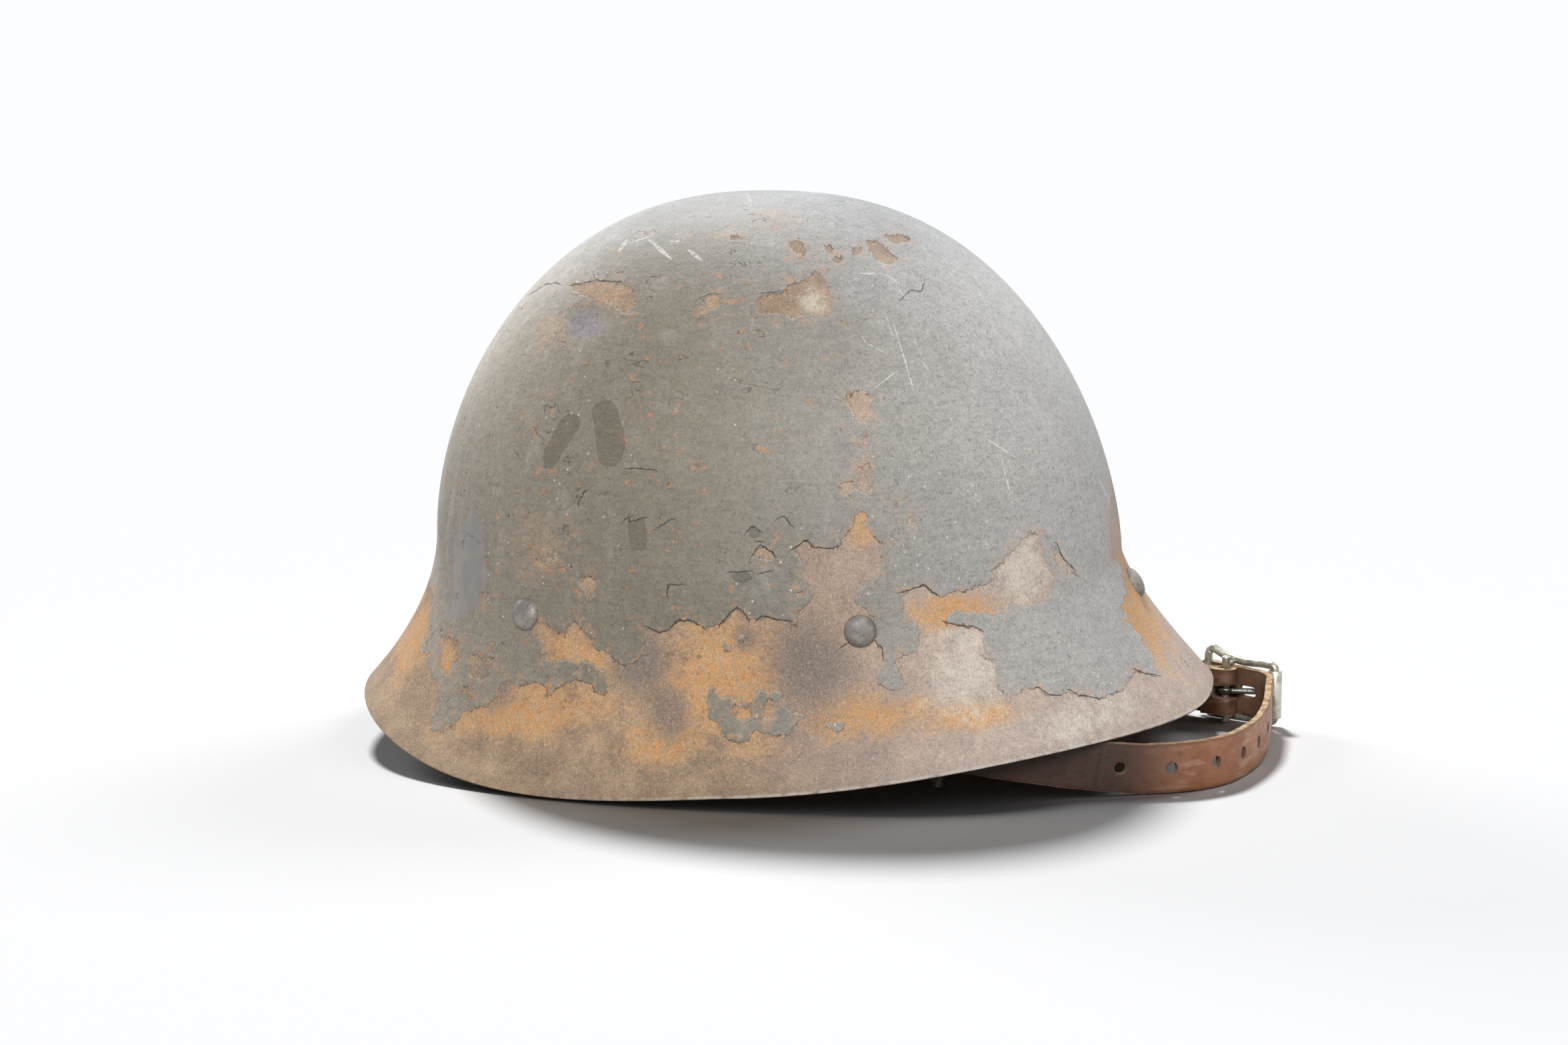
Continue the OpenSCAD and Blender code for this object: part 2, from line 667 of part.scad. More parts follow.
module buckle_prong() {
    color([0.60, 0.60, 0.54]) at_pin() difference() {
        union() {
            cylinder(d = pin_d + 2.6, h = prong_eye_h, center = true);
            rotate([0, 0, 180 + prong_turn]) {
                wire([pin_d / 2 + 0.6, 0, 0], [prong_len, 0, 0], prong_d);
                translate([prong_len, 0, 0]) sphere(d = prong_d);
            }
        }
        cylinder(d = pin_d + 2 * run, h = prong_eye_h + 2, center = true);
    }
}

shell();
rivet(0);  // rivet_rear
rivet(side_at);  // rivet_side_left
rivet(-side_at);  // rivet_side_right
rivet(front_at);  // rivet_front_left
rivet(-front_at);  // rivet_front_right
burr(0);  // burr_rear
burr(side_at);  // burr_side_left
burr(-side_at);  // burr_side_right
burr(front_at);  // burr_front_left
burr(-front_at);  // burr_front_right
spacer(0);  // spacer_rear
spacer(front_at);  // spacer_front_left
spacer(-front_at);  // spacer_front_right
liner_band();
sweatband();
tongue(1);  // tongue_1
tongue(2);  // tongue_2
tongue(3);  // tongue_3
tongue(4);  // tongue_4
tongue(5);  // tongue_5
tongue(6);  // tongue_6
tongue(7);  // tongue_7
tongue(8);  // tongue_8
crown_ring();
tab(1);  // tab_left
tab(-1);  // tab_right
hinge_pin(1);  // hinge_pin_left
hinge_pin(-1);  // hinge_pin_right
hanger(1);  // hanger_left
hanger(-1);  // hanger_right
strap_long();
buckle_frame();
strap_short();
at_right_bar() stud(hanger_wire_d, stud_at);  // stud_right
at_left_bar() stud(hanger_wire_d, stud_at);  // stud_left
at_pin() stud(pin_d, pin_stud_at);  // stud_buckle
buckle_pin();
buckle_roller();
buckle_prong();
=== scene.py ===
import math
import bmesh
import bpy
import numpy as np
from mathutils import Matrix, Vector, noise
from mathutils.geometry import delaunay_2d_cdt


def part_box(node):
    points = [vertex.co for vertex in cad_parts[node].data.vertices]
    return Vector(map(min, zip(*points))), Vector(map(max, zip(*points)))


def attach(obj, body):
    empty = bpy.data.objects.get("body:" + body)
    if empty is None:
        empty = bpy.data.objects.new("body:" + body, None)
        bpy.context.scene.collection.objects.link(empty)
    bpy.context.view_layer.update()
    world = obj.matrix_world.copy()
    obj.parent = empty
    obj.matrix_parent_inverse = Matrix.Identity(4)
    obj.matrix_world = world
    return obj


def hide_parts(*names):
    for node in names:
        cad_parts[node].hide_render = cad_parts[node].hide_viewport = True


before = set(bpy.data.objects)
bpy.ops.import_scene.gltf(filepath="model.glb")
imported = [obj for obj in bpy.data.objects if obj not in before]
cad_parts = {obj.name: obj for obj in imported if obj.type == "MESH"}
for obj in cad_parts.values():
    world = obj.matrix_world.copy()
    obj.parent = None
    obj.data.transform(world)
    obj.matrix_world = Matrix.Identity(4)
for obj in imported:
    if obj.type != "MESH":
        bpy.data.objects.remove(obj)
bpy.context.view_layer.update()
# %% [markdown]
# # A worn steel helmet, dressed as a lesson
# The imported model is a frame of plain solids: a bell-shaped steel shell, its leather liner, and a
# leather chin strap with a buckle. This file gives each of them the surface that it has after
# decades in a shed. Everything is in metres and in the frame's own place, so nothing is fitted.
#
# Numbers that come from the part's source are kept in millimetres here, as they are there.

# %% Small tools for numbers that nodes work out
# Blender's nodes can add and multiply, but a formula of forty nodes is hard to read.
# A Flow is one output of a node that can be used in sums like a plain number.
MM = 0.001


def plug(tree, value, slot):
    if isinstance(value, Flow):
        tree.links.new(value.socket, slot)
    else:
        slot.default_value = value


class Flow:
    def __init__(self, tree, socket):
        self.tree, self.socket = tree, socket

    def math(self, kind, *others):
        node = self.tree.nodes.new("ShaderNodeMath")
        node.operation = kind
        for value, slot in zip((self, *others), node.inputs):
            plug(self.tree, value, slot)
        return Flow(self.tree, node.outputs[0])

    def vector(self, kind, other=None, out=0):
        node = self.tree.nodes.new("ShaderNodeVectorMath")
        node.operation = kind
        plug(self.tree, self, node.inputs[0])
        if other is not None:
            plug(self.tree, other, node.inputs["Scale" if kind == "SCALE" else 1])
        return Flow(self.tree, node.outputs[out])

    def __add__(self, other):
        return self.math("ADD", other)

    def __sub__(self, other):
        return self.math("SUBTRACT", other)

    def __rsub__(self, other):
        return self.math("MULTIPLY_ADD", -1, other)

    def __mul__(self, other):
        return self.math("MULTIPLY", other)

    def __truediv__(self, other):
        return self.math("DIVIDE", other)

    def __pow__(self, other):
        return self.math("POWER", other)

    def __abs__(self):
        return self.math("ABSOLUTE")

    __radd__, __rmul__ = __add__, __mul__

    def clip(self, low=0.0, high=1.0):
        return self.math("MAXIMUM", low).math("MINIMUM", high)

    def step(self, start, end, low=0.0, high=1.0):
        """Rises smoothly from low to high while the number goes from start to end."""
        node = self.tree.nodes.new("ShaderNodeMapRange")
        node.interpolation_type = "SMOOTHSTEP"
        for value, slot in zip((self, start, end, low, high), node.inputs):
            plug(self.tree, value, slot)
        return Flow(self.tree, node.outputs[0])


def combine(tree, x, y, z):
    node = tree.nodes.new("ShaderNodeCombineXYZ")
    for value, slot in zip((x, y, z), node.inputs):
        plug(tree, value, slot)
    return Flow(tree, node.outputs[0])


# %% Small tools for Geometry Nodes
def new_tree(name, inputs, outputs=(("Geometry", "Geometry"),)):
    """An empty tree, its inputs as Flows by name, and its output node."""
    tree = bpy.data.node_groups.new(name, "GeometryNodeTree")
    for label, kind, value in inputs:
        made = tree.interface.new_socket(label, in_out="INPUT", socket_type="NodeSocket" + kind)
        if value is not None:
            made.default_value = value
    for label, kind in outputs:
        tree.interface.new_socket(label, in_out="OUTPUT", socket_type="NodeSocket" + kind)
    source, end = tree.nodes.new("NodeGroupInput"), tree.nodes.new("NodeGroupOutput")
    return tree, {o.name: Flow(tree, o) for o in source.outputs if o.name}, end


def add(tree, kind, settings=None, out=0, **values):
    """One node: settings are its own, values go into its inputs by name (spaces as _)."""
    node = tree.nodes.new(kind)
    for key, value in (settings or {}).items():
        setattr(node, key, value)
    for key, value in values.items():
        slots = [s for s in node.inputs if s.name.replace(" ", "_") == key and s.enabled]
        plug(tree, value, slots[0])
    return Flow(tree, node.outputs[out]) if isinstance(out, int) else Flow(
        tree, next(o for o in node.outputs if o.name == out and o.enabled))


def along_stored(tree, name):
    """The rotation that turns Z along a stored vector."""
    way = add(tree, "GeometryNodeInputNamedAttribute", {"data_type": "FLOAT_VECTOR"}, "Attribute", Name=name)
    return add(tree, "FunctionNodeAlignRotationToVector", {"axis": "Z"}, Vector=way)


def finish_tree(tree, end, geometry, material):
    """Realizes instances, sets the material and leads the result out."""
    solid = add(tree, "GeometryNodeRealizeInstances", Geometry=geometry)
    dressed = add(tree, "GeometryNodeSetMaterial", Geometry=solid, Material=material)
    plug(tree, dressed, end.inputs[0])


def grow(name, tree, mesh=None, **sizes):
    """Runs a tree once on an object and keeps the result as its plain mesh."""
    seed = bpy.data.objects.new(name, mesh or bpy.data.meshes.new(name))
    bpy.context.scene.collection.objects.link(seed)
    tool = seed.modifiers.new("grow", "NODES")
    tool.node_group = tree
    for item in tree.interface.items_tree:
        key = item.name.replace(" ", "_")
        if item.in_out == "INPUT" and key in sizes:
            tool[item.identifier] = sizes[key]
    graph = bpy.context.evaluated_depsgraph_get()
    grown = bpy.data.meshes.new_from_object(
        seed.evaluated_get(graph), preserve_all_data_layers=True, depsgraph=graph)
    seed.modifiers.remove(tool)
    seed.data = grown
    print(name, len(grown.polygons), "faces")
    return seed


def keep(piece, body, slot, *nodes):
    """Ties a finished piece to its body and hides the nodes that it stands for; slot is not used."""
    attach(piece, body)
    if nodes:
        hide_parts(*nodes)
    return piece


def dress(mesh, material):
    mesh.materials.clear()
    mesh.materials.append(material)


# %% [markdown]
# ## Sight line, light and table
# The photograph was taken from the helmet's right-hand side, a little in front of it and a little
# above. The camera stands 1.5 m away on that line. The light is that of a white studio: a world that
# looks pale and lights little, one strong lamp high behind the visor that throws the shadow towards
# the viewer, as the outline of the shadow in the photograph asks, two weak ones behind at the right
# and left that light the table inside the strap and under the visor, and one in front that leaves
# out the table.

# %% The camera
YAW, RAISED, AWAY = math.radians(-8), math.radians(9.5), 1.5
AIM = Vector((0, 0, 0.08))
ahead = Vector((math.sin(YAW) * math.cos(RAISED), math.cos(YAW) * math.cos(RAISED), -math.sin(RAISED)))
across = Vector((math.cos(YAW), -math.sin(YAW), 0))
upward = across.cross(ahead)

scene = bpy.context.scene
scene.view_settings.view_transform = "Standard"
lens = bpy.data.cameras.new("camera")
lens.sensor_width, lens.lens = 36, 100.33
lens.shift_x, lens.shift_y = 0.0023, -0.0113
lens.clip_start, lens.clip_end = 0.05, 60
camera = bpy.data.objects.new("camera", lens)
camera.location = AIM - ahead * AWAY
camera.rotation_euler = ahead.to_track_quat("-Z", "Y").to_euler()
scene.collection.objects.link(camera)
scene.camera = camera
print("camera at", [round(x, 3) for x in camera.location])

# %% The table, the world and four lamps
def tone(red, green, blue):
    """The linear colour of a tone that a screen shows as 0 to 255."""
    return (*[((v / 255 + 0.055) / 1.055) ** 2.4 if v > 10 else v / 3295 for v in (red, green, blue)], 1)


WORLD_LIGHT = 0.06


def emit_world():
    """A pale world that lights at one strength and is seen, also in metal, at another."""
    world = bpy.data.worlds.new("studio")
    world.use_nodes = True
    scene.world = world
    tree = world.node_tree
    back = tree.nodes["Background"]
    seen = tree.nodes.new("ShaderNodeBackground")
    back.inputs["Color"].default_value = (0.97, 0.985, 1, 1)
    back.inputs["Strength"].default_value = WORLD_LIGHT
    seen.inputs["Color"].default_value = tone(249, 251, 253)
    path, mix = tree.nodes.new("ShaderNodeLightPath"), tree.nodes.new("ShaderNodeMixShader")
    rays = Flow(tree, path.outputs["Is Camera Ray"]) + Flow(tree, path.outputs["Is Glossy Ray"])
    plug(tree, rays.clip(), mix.inputs[0])
    tree.links.new(back.outputs[0], mix.inputs[1])
    tree.links.new(seen.outputs[0], mix.inputs[2])
    tree.links.new(mix.outputs[0], tree.nodes["World Output"].inputs[0])


def sun(name, place, energy, width):
    """A distant lamp that shines from a place to the origin; degrees of width soften its shadow."""
    data = bpy.data.lights.new(name, "SUN")
    data.energy, data.angle = energy, math.radians(width)
    made = bpy.data.objects.new(name, data)
    made.location = place
    made.rotation_euler = (-Vector(place)).to_track_quat("-Z", "Y").to_euler()
    scene.collection.objects.link(made)
    return made


emit_world()
sun("high_lamp", (-0.93, 2.3, 3.17), 3.4, 10)
sun("right_lamp", (1.5, 1.8, 2.1), 0.6, 22)
sun("left_lamp", (-1.5, 1.3, 0.8), 0.85, 24)
front_lamp = sun("front_lamp", (0.15, -2.0, 1.4), 3.3, 34)

table_mesh = bpy.data.meshes.new("table")
reach, TABLE = 8, -0.0002
corners = [(x * reach, y * reach, TABLE) for x, y in ((-1, -1), (1, -1), (1, 1), (-1, 1))]
table_mesh.from_pydata(corners, [], [(0, 1, 2, 3)])
table = bpy.data.objects.new("table", table_mesh)
scene.collection.objects.link(table)
table_white = bpy.data.materials.new("table_white")
table_white.use_nodes = True
table_shader = table_white.node_tree.nodes["Principled BSDF"]
table_shader.inputs["Base Color"].default_value = (0.86, 0.865, 0.875, 1)
table_shader.inputs["Roughness"].default_value = 0.75
table_shader.inputs["Specular IOR Level"].default_value = 0.0
table_mesh.materials.append(table_white)

# A photographer would screen the front lamp off the table; here a list says what it leaves out.
unlit = bpy.data.collections.new("not_by_front_lamp")
unlit.objects.link(table)
unlit.collection_objects[0].light_linking.link_state = "EXCLUDE"
front_lamp.light_linking.receiver_collection = unlit
print("table", 2 * reach, "m wide")

# %% [markdown]
# ## The shell
# The real shell is one disc of steel that a press drew into a bell: a round dome that turns, at the
# waist, into a skirt that flares out over the eyes, the ears and the neck. A lathe could make a bell,
# but this one is oval and its rim rises and falls. So its shape is a rule: two ovals, one at the
# rim and one at the waist, a curve that joins them, and a second curve over the crown.
#
# The rule is written once, in plain Python. It works on numbers, and also on Flows, so Geometry
# Nodes can bend a flat grid by the same rule: columns run round the head, rows run down the inside
# to the raw cut edge, over it and up again outside. A press never leaves a perfect surface, so a slow
# noise moves it by less than 0.3 mm, and one shallow knock sits high on the front.

# %% The rule of the shell's surface
SHEET = 1.2
CROWN = 187.5
CROWN_SHIFT = -2.9
EDGE_RISE, BEVEL, SKIRT_SHARE, TOP_RISE = 0.013, 0.005, 0.3, 1.985
# heights of the rim and the waist, and the flare's power, at the front, the side and the rear
RIM_Z, WAIST_Z, FLARE = (13.3, 3.1, 24.9), (73, 63, 66), (1.9, 2, 1.29)
RIM_WAVE = 5
# ovals: reach to the front and the rear, half width, roundness
RIM_OVAL, WAIST_OVAL = (143, 149.5, 117, 2.39), (117.5, 117, 102, 2.15)
DOME_PLAN, DOME_LIFT = 2.35, 1.72
TURN_STEP, RISE_STEP = 0.009, 0.01


def either(kind, numeric, value):
    return value.math(kind) if isinstance(value, Flow) else numeric(value)


def sine(v):
    return either("SINE", np.sin, v)


def cosine(v):
    return either("COSINE", np.cos, v)


def sign(v):
    return either("SIGN", np.sign, v)


def limit(v):
    return v.clip() if isinstance(v, Flow) else np.clip(v, 0, 1)


def signed(v, exponent):
    return sign(v) * abs(v) ** exponent


def blend(c, front, side, rear):
    """A value that is front, side or rear where the cosine of the turn is -1, 0 or 1."""
    return c * c * ((front + rear) / 2 - side) + c * abs(c) * ((rear - front) / 2) + side


def oval(c, s, front, rear, half, roundness):
    far = sign(c) * ((rear - front) / 2) + (rear + front) / 2
    return far * signed(c, 2 / roundness), signed(s, 2 / roundness) * half


def shell_rule(turn, rise):
    """A point outside, in mm. turn runs round from the back, rise from 0 at the rim to 2 on top."""
    c, s = cosine(turn), sine(turn)
    rim_z = blend(c, *RIM_Z) - cosine(turn * 3) * RIM_WAVE
    waist_z = blend(c, *WAIST_Z)
    rim_x, rim_y = oval(c, s, *RIM_OVAL)
    waist_x, waist_y = oval(c, s, *WAIST_OVAL)
    low, high = limit(rise * -1 + 1), limit(rise - 1) * (math.pi / 2)
    flare = abs(low) ** blend(c, *FLARE)
    shrink = abs(cosine(high)) ** (2 / DOME_PLAN)
    lift = abs(sine(high)) ** (2 / DOME_LIFT)
    return (waist_x * shrink + (rim_x - waist_x) * flare + lift * CROWN_SHIFT,
            waist_y * shrink + (rim_y - waist_y) * flare,
            waist_z + (rim_z - waist_z) * low + (waist_z * -1 + CROWN) * lift)


PLACES = {"visor tip": (math.pi, 0), "neck tip": (0, 0), "ear": (math.pi / 2, 0), "crown": (0, 2)}
for label, at in PLACES.items():
    print(label, [round(float(v), 1) for v in shell_rule(*at)])

# %% The shell's tree
def rule_tree():
    """The rule as a node group, in mm."""
    tree, given, end = new_tree("shell_rule", [("Turn", "Float", 0), ("Rise", "Float", 0)],
                                [("Point", "Vector")])
    plug(tree, combine(tree, *shell_rule(given["Turn"], given["Rise"])), end.inputs[0])
    return tree


def shell_tree():
    tree, given, end = new_tree("pressed_shell", [
        ("Columns", "Int", 540), ("Inner Rows", "Int", 38), ("Edge Rows", "Int", 4),
        ("Outer Rows", "Int", 128), ("Sheet", "Float", SHEET), ("Wave", "Float", 0.3),
        ("Knock Place", "Vector", (0, 0, 0)), ("Knock Radius", "Float", 13), ("Knock Depth", "Float", 1.1),
        ("Material", "Material", None)])
    rule = rule_tree()
    point_on = lambda turn, rise: add(tree, "GeometryNodeGroup", {"node_tree": rule}, Turn=turn, Rise=rise)
    inner, edge, outer = given["Inner Rows"], given["Edge Rows"], given["Outer Rows"]
    rows = inner + edge + outer
    grid = add(tree, "GeometryNodeMeshGrid", Size_X=1.0, Size_Y=1.0,
               Vertices_X=given["Columns"] + 1, Vertices_Y=rows + 1)
    flat = add(tree, "GeometryNodeInputPosition")
    split = tree.nodes.new("ShaderNodeSeparateXYZ")
    plug(tree, flat, split.inputs[0])
    turn = (Flow(tree, split.outputs[0]) + 0.5) * (2 * math.pi)
    row = (Flow(tree, split.outputs[1]) + 0.5) * rows
    over = ((row - inner) / edge).clip()
    climb = ((inner - row) / inner).clip() + ((row - inner - edge) / outer).clip()
    rise = (climb / SKIRT_SHARE).clip() + ((climb - SKIRT_SHARE) / (1 - SKIRT_SHARE)).clip()
    bevel = abs(over * 2 - 1) ** 3 * BEVEL
    rise = rise * (1 - EDGE_RISE / 2) + bevel + EDGE_RISE
    rise = rise.math("MINIMUM", 2.0)
    depth = (cosine(over * math.pi) * 0.5 + 0.5) * given["Sheet"]
    around = point_on(turn + TURN_STEP, rise).vector("SUBTRACT", point_on(turn - TURN_STEP, rise))
    upward_way = point_on(turn, rise + RISE_STEP).vector("SUBTRACT", point_on(turn, rise - RISE_STEP))
    out = around.vector("CROSS_PRODUCT", upward_way).vector("NORMALIZE")
    on_top = rise.math("GREATER_THAN", TOP_RISE)
    pick = tree.nodes.new("ShaderNodeMix")
    pick.data_type = "VECTOR"
    plug(tree, on_top, pick.inputs[0])
    plug(tree, out, pick.inputs[4])
    pick.inputs[5].default_value = (0, 0, 1)
    out = Flow(tree, pick.outputs[1])
    face = point_on(turn, rise)
    wave = add(tree, "ShaderNodeTexNoise", {"noise_dimensions": "3D"}, Vector=face, Scale=0.012, Detail=1.0)
    away = face.vector("DISTANCE", given["Knock Place"], out=1)
    knock = (away / given["Knock Radius"]).step(0.0, 1.0, 1.0, 0.0) * given["Knock Depth"]
    shift = (wave - 0.5) * 2 * given["Wave"] * (climb * 20).clip() - depth - knock
    place = face.vector("ADD", out.vector("SCALE", shift)).vector("SCALE", MM)
    # the numbers read the flat grid's position, so they are stored before the grid is bent
    for label, value in (("rise", rise), ("depth", depth)):
        grid = add(tree, "GeometryNodeStoreNamedAttribute", {"data_type": "FLOAT", "domain": "POINT"},
                   Geometry=grid, Name=label, Value=value)
    bent = add(tree, "GeometryNodeSetPosition", Geometry=grid, Position=place)
    joined = add(tree, "GeometryNodeMergeByDistance", Geometry=bent, Distance=2e-6)
    finish_tree(tree, end, joined, given["Material"])
    return tree

# %% [markdown]
# ## Where the paint has gone
# Rust lifts old paint in flakes, and no formula knows where. The places were drawn on the
# sight line's plane, in millimetres from the aim: outlines of the coat that is left, of chips
# and cracks, and soft ovals where the bare metal is orange, dark or pale. Each vertex of the shell
# then stores how far it lies inside an outline, and whether the coat lies above it or below,
# because a flake curls at its lower end and throws a thin shadow there. A shader can add noise to
# such a distance before it asks whether it is above zero, which gives a crisp and ragged edge that
# no grid is fine enough to hold. The far side, which the photograph does not show, wears the same
# marks turned half round.

# %% The drawn marks
def outlines(*texts):
    return [np.array([[float(v) for v in pair.split(",")] for pair in text.split()]) for text in texts]


COAT = outlines(
    "-121.5,27 -121.5,-15 -119.5,-32.5 -122,-47 -123.5,-50.5 -120.5,-51 -121,-56.5 -117.5,-60.5 "
    "-118,-66 -120,-77 -116,-78 -115,-74 -112,-77 -110.5,-73.5 -107,-70.5 -101.5,-69 -98,-66.5 "
    "-95,-59.5 -91.5,-60 -90.5,-63 -85.5,-60.5 -82,-62 -80,-66 -73,-61 -69.5,-59.5 -66.5,-61 "
    "-63,-64.5 -60,-65 -58.5,-62.5 -61,-57 -65,-54.5 -67.5,-53 -69.5,-54.5 -72.5,-53 -77.5,-54 "
    "-80.5,-53 -81,-49 -84,-45.5 -82.5,-39.5 -77.5,-43.5 -74,-44.5 -70.5,-39 -64,-48.5 -53,-55.5 "
    "-47.5,-52 -46,-42 -41.5,-44 -37.5,-43 -35.5,-39.5 -31.5,-39.5 -25.5,-42.5 -21,-41.5 -15,-35.5 "
    "-12.5,-37 -11,-39.5 -8,-39.5 -5.5,-38.5 2.5,-40 6,-42 6,-36 12.5,-32 7.5,-19.5 4,-15.5 9,-12 "
    "11.5,-15 18,-15 20.5,-13.5 23,-9 26,-6.5 30,-7 32,-10.5 36,-13.5 34.5,-16.5 35,-20 33.5,-24.5 "
    "30,-26 27.5,-28.5 25.5,-33 28.5,-35 32,-39.5 33,-47 35,-49 35.5,-53 32.5,-57 33.5,-61 37.5,-63.5 "
    "42.5,-63 41,-57 39,-54 42,-51.5 47,-50.5 48,-46.5 47,-40.5 44.5,-39 42,-36 41.5,-30 49.5,-27.5 "
    "53.5,-31 66,-29 69,-27 74,-26 72.5,-22.5 75.5,-20.5 85.5,-9 88.5,-10 89,-13.5 93.5,-25 93,-30 "
    "90.5,-32.5 87,-34 79,-33.5 77.5,-37.5 73.5,-38 61,-36 57.5,-38 56.5,-40.5 65,-42 68.5,-43 70,-52 "
    "72.5,-53 74,-57 74.5,-62 77.5,-66 82,-64.5 85.5,-62.5 89,-63 92,-65 95.5,-65.5 98.5,-63.5 "
    "101.5,-65 109,-66.5 113.5,-65.5 118,-63 119,-59 122,-56.5 129,-58.5 128,-51 122.5,-45 119,-39.5 "
    "117.5,-35 118.5,-30 118,-25 116.5,-20.5 113.5,-18 114,59 107.5,82 75.5,116 2,127.5 -71,114 "
    "-107.5,70.5",
    "-24.5,-61.5 -25,-73.5 -21,-75 -19.5,-80 -14,-82.5 -11,-81 -9,-77.5 -2,-79.5 3.5,-78.5 5.5,-75 "
    "8.5,-73 6.5,-71 3.5,-72 1,-69 0.5,-64.5 -6,-63 -9,-64.5 -9.5,-66.5 -13.5,-68 -16.5,-65.5 -21,-66 "
    "-22.5,-62",
    "14.5,-73.5 16,-76.5 19.5,-77.5 22.5,-76 21,-74 17,-74.5",
    "-21,-47.5 -20,-50.5 -17.5,-50 -17.5,-47.5",
    "-14.5,-45 -13.5,-47 -11.5,-46 -13,-44.5",
    "-29,-51 -28.5,-53 -26.5,-52 -28,-50.5",
    "121,-44 124,-48 126,-52 124.5,-47.5 122.5,-43.5",
    "135,-48.5 138.5,-53 141.5,-56 139,-52",
)
CHIPS = outlines(
    "-16.5,-69 -15.5,-73.5 -9.5,-73.5 -10,-69 -13.5,-70",
    "-5,-67.5 -6,-73.5 -3,-73.5 -1,-68 -3.5,-67",
    "-117,-44 -115,-50 -117,-56 -114,-58.5 -110.5,-52 -110,-47 -113,-45",
    "-107,-52 -106.5,-58 -102.5,-60.5 -99.5,-59 -101.5,-54.5 -104.5,-51.5",
    "-109.5,-62.5 -109,-65 -107.5,-64.5 -107.5,-62.5",
    "-101.5,-53 -101,-56 -98.5,-55.5 -98.5,-52.5",
    "-103,-30.5 -102.5,-33 -100,-32 -100.5,-30",
    "-71.5,75.5 -63,77 -55,76.5 -50,73.5 -50,68.5 -53.5,65.5 -56.5,68.5 -63,71 -69.5,72",
    "-27.5,70 -25,71.5 -21.5,72 -20.5,70 -22,67.5 -27,66.5 -26,68.5",
    "-8.5,70 -6,72.5 0.5,73 3,76 9,77 12,81.5 14.5,79.5 17,72 17,67 5,64.5 -4.5,65.5 -8,67",
    "3,90 6.5,90.5 9,88.5 8.5,86 4.5,86.5",
    "14,89.5 16.5,89 18,87.5 16.5,86",
    "30,90.5 33.5,90.5 40.5,84 37,82 32.5,84 30.5,87",
    "18,85 21,85.5 22,83.5 19.5,82.5",
    "24.5,88 28,88 28.5,86.5 25.5,85.5",
    "36,92.5 41,93.5 45,91 41,89.5 37,90.5",
    "-17.5,92.5 -14.5,92.5 -13.5,91 -16.5,90.5",
    "22.5,37 25.5,39 29.5,39 31.5,36 30.5,31 27.5,29 24,32",
    "27.5,23.5 30.5,24 30.5,20.5 29,19.5",
    "27,13 30,14 32,10.5 31.5,5.5 28,4 26.5,7.5",
    "20,6.5 24,8 26,5.5 22,4",
    "25,-3.5 28.5,-1.5 30.5,-4.5 29,-6.5 25.5,-6",
    "5,-30 8.5,-29.5 8,-31.5 5.5,-31.5",
    "43,-3.5 45.5,-3 46,-6 44,-7",
    "94.5,-14.5 100.5,-23 99.5,-24.5 96.5,-22.5 94,-18.5",
    "-69.5,-25.5 -66.5,-24 -63,-26 -63.5,-30.5 -65.5,-32.5 -67.5,-29",
    "-84,-18.5 -82,-18 -81.5,-20.5 -83.5,-20.5",
    "-79.5,-17 -77.5,-16.5 -77,-18 -79,-18.5",
    "-72.5,-20.5 -71,-21.5 -70.5,-23.5 -72,-23",
    "-8.5,-15 -4.5,-15 -2,-17 -3,-19 -7.5,-18",
    "39,-0.5 41,0 41,-1.5 39.5,-2",
)
OLD_COAT = outlines(
    "-72.5,31.5 -75,30 -78,24 -81.5,18 -81.5,12.5 -79.5,12 -77.5,13 -71,24 -68.5,26.5 -69.5,31",
    "-65,32 -62.5,35.5 -58.5,36 -56,33.5 -53,21.5 -54.5,15 -56.5,13 -59.5,13 -62.5,14.5 -64,27.5",
    "-52.5,-6 -47,-4.5 -45.5,-9.5 -46,-15.5 -51.5,-16 -52,-9.5",
    "-11.5,-8.5 -10,-7 -7,-9 -7,-11.5 -10,-11.5",
    "-17.5,-23 -11,-23 -9,-26 -13.5,-27.5 -16.5,-25.5",
)
SMOOTH_PATCH = outlines(
    "-105.5,-1.5 -112,-11 -112.5,-18 -112,-31 -114,-36.5 -111.5,-39.5 -104,-35.5 -101.5,-31 "
    "-100.5,-24.5 -101.5,-15 -103,-4.5",
)
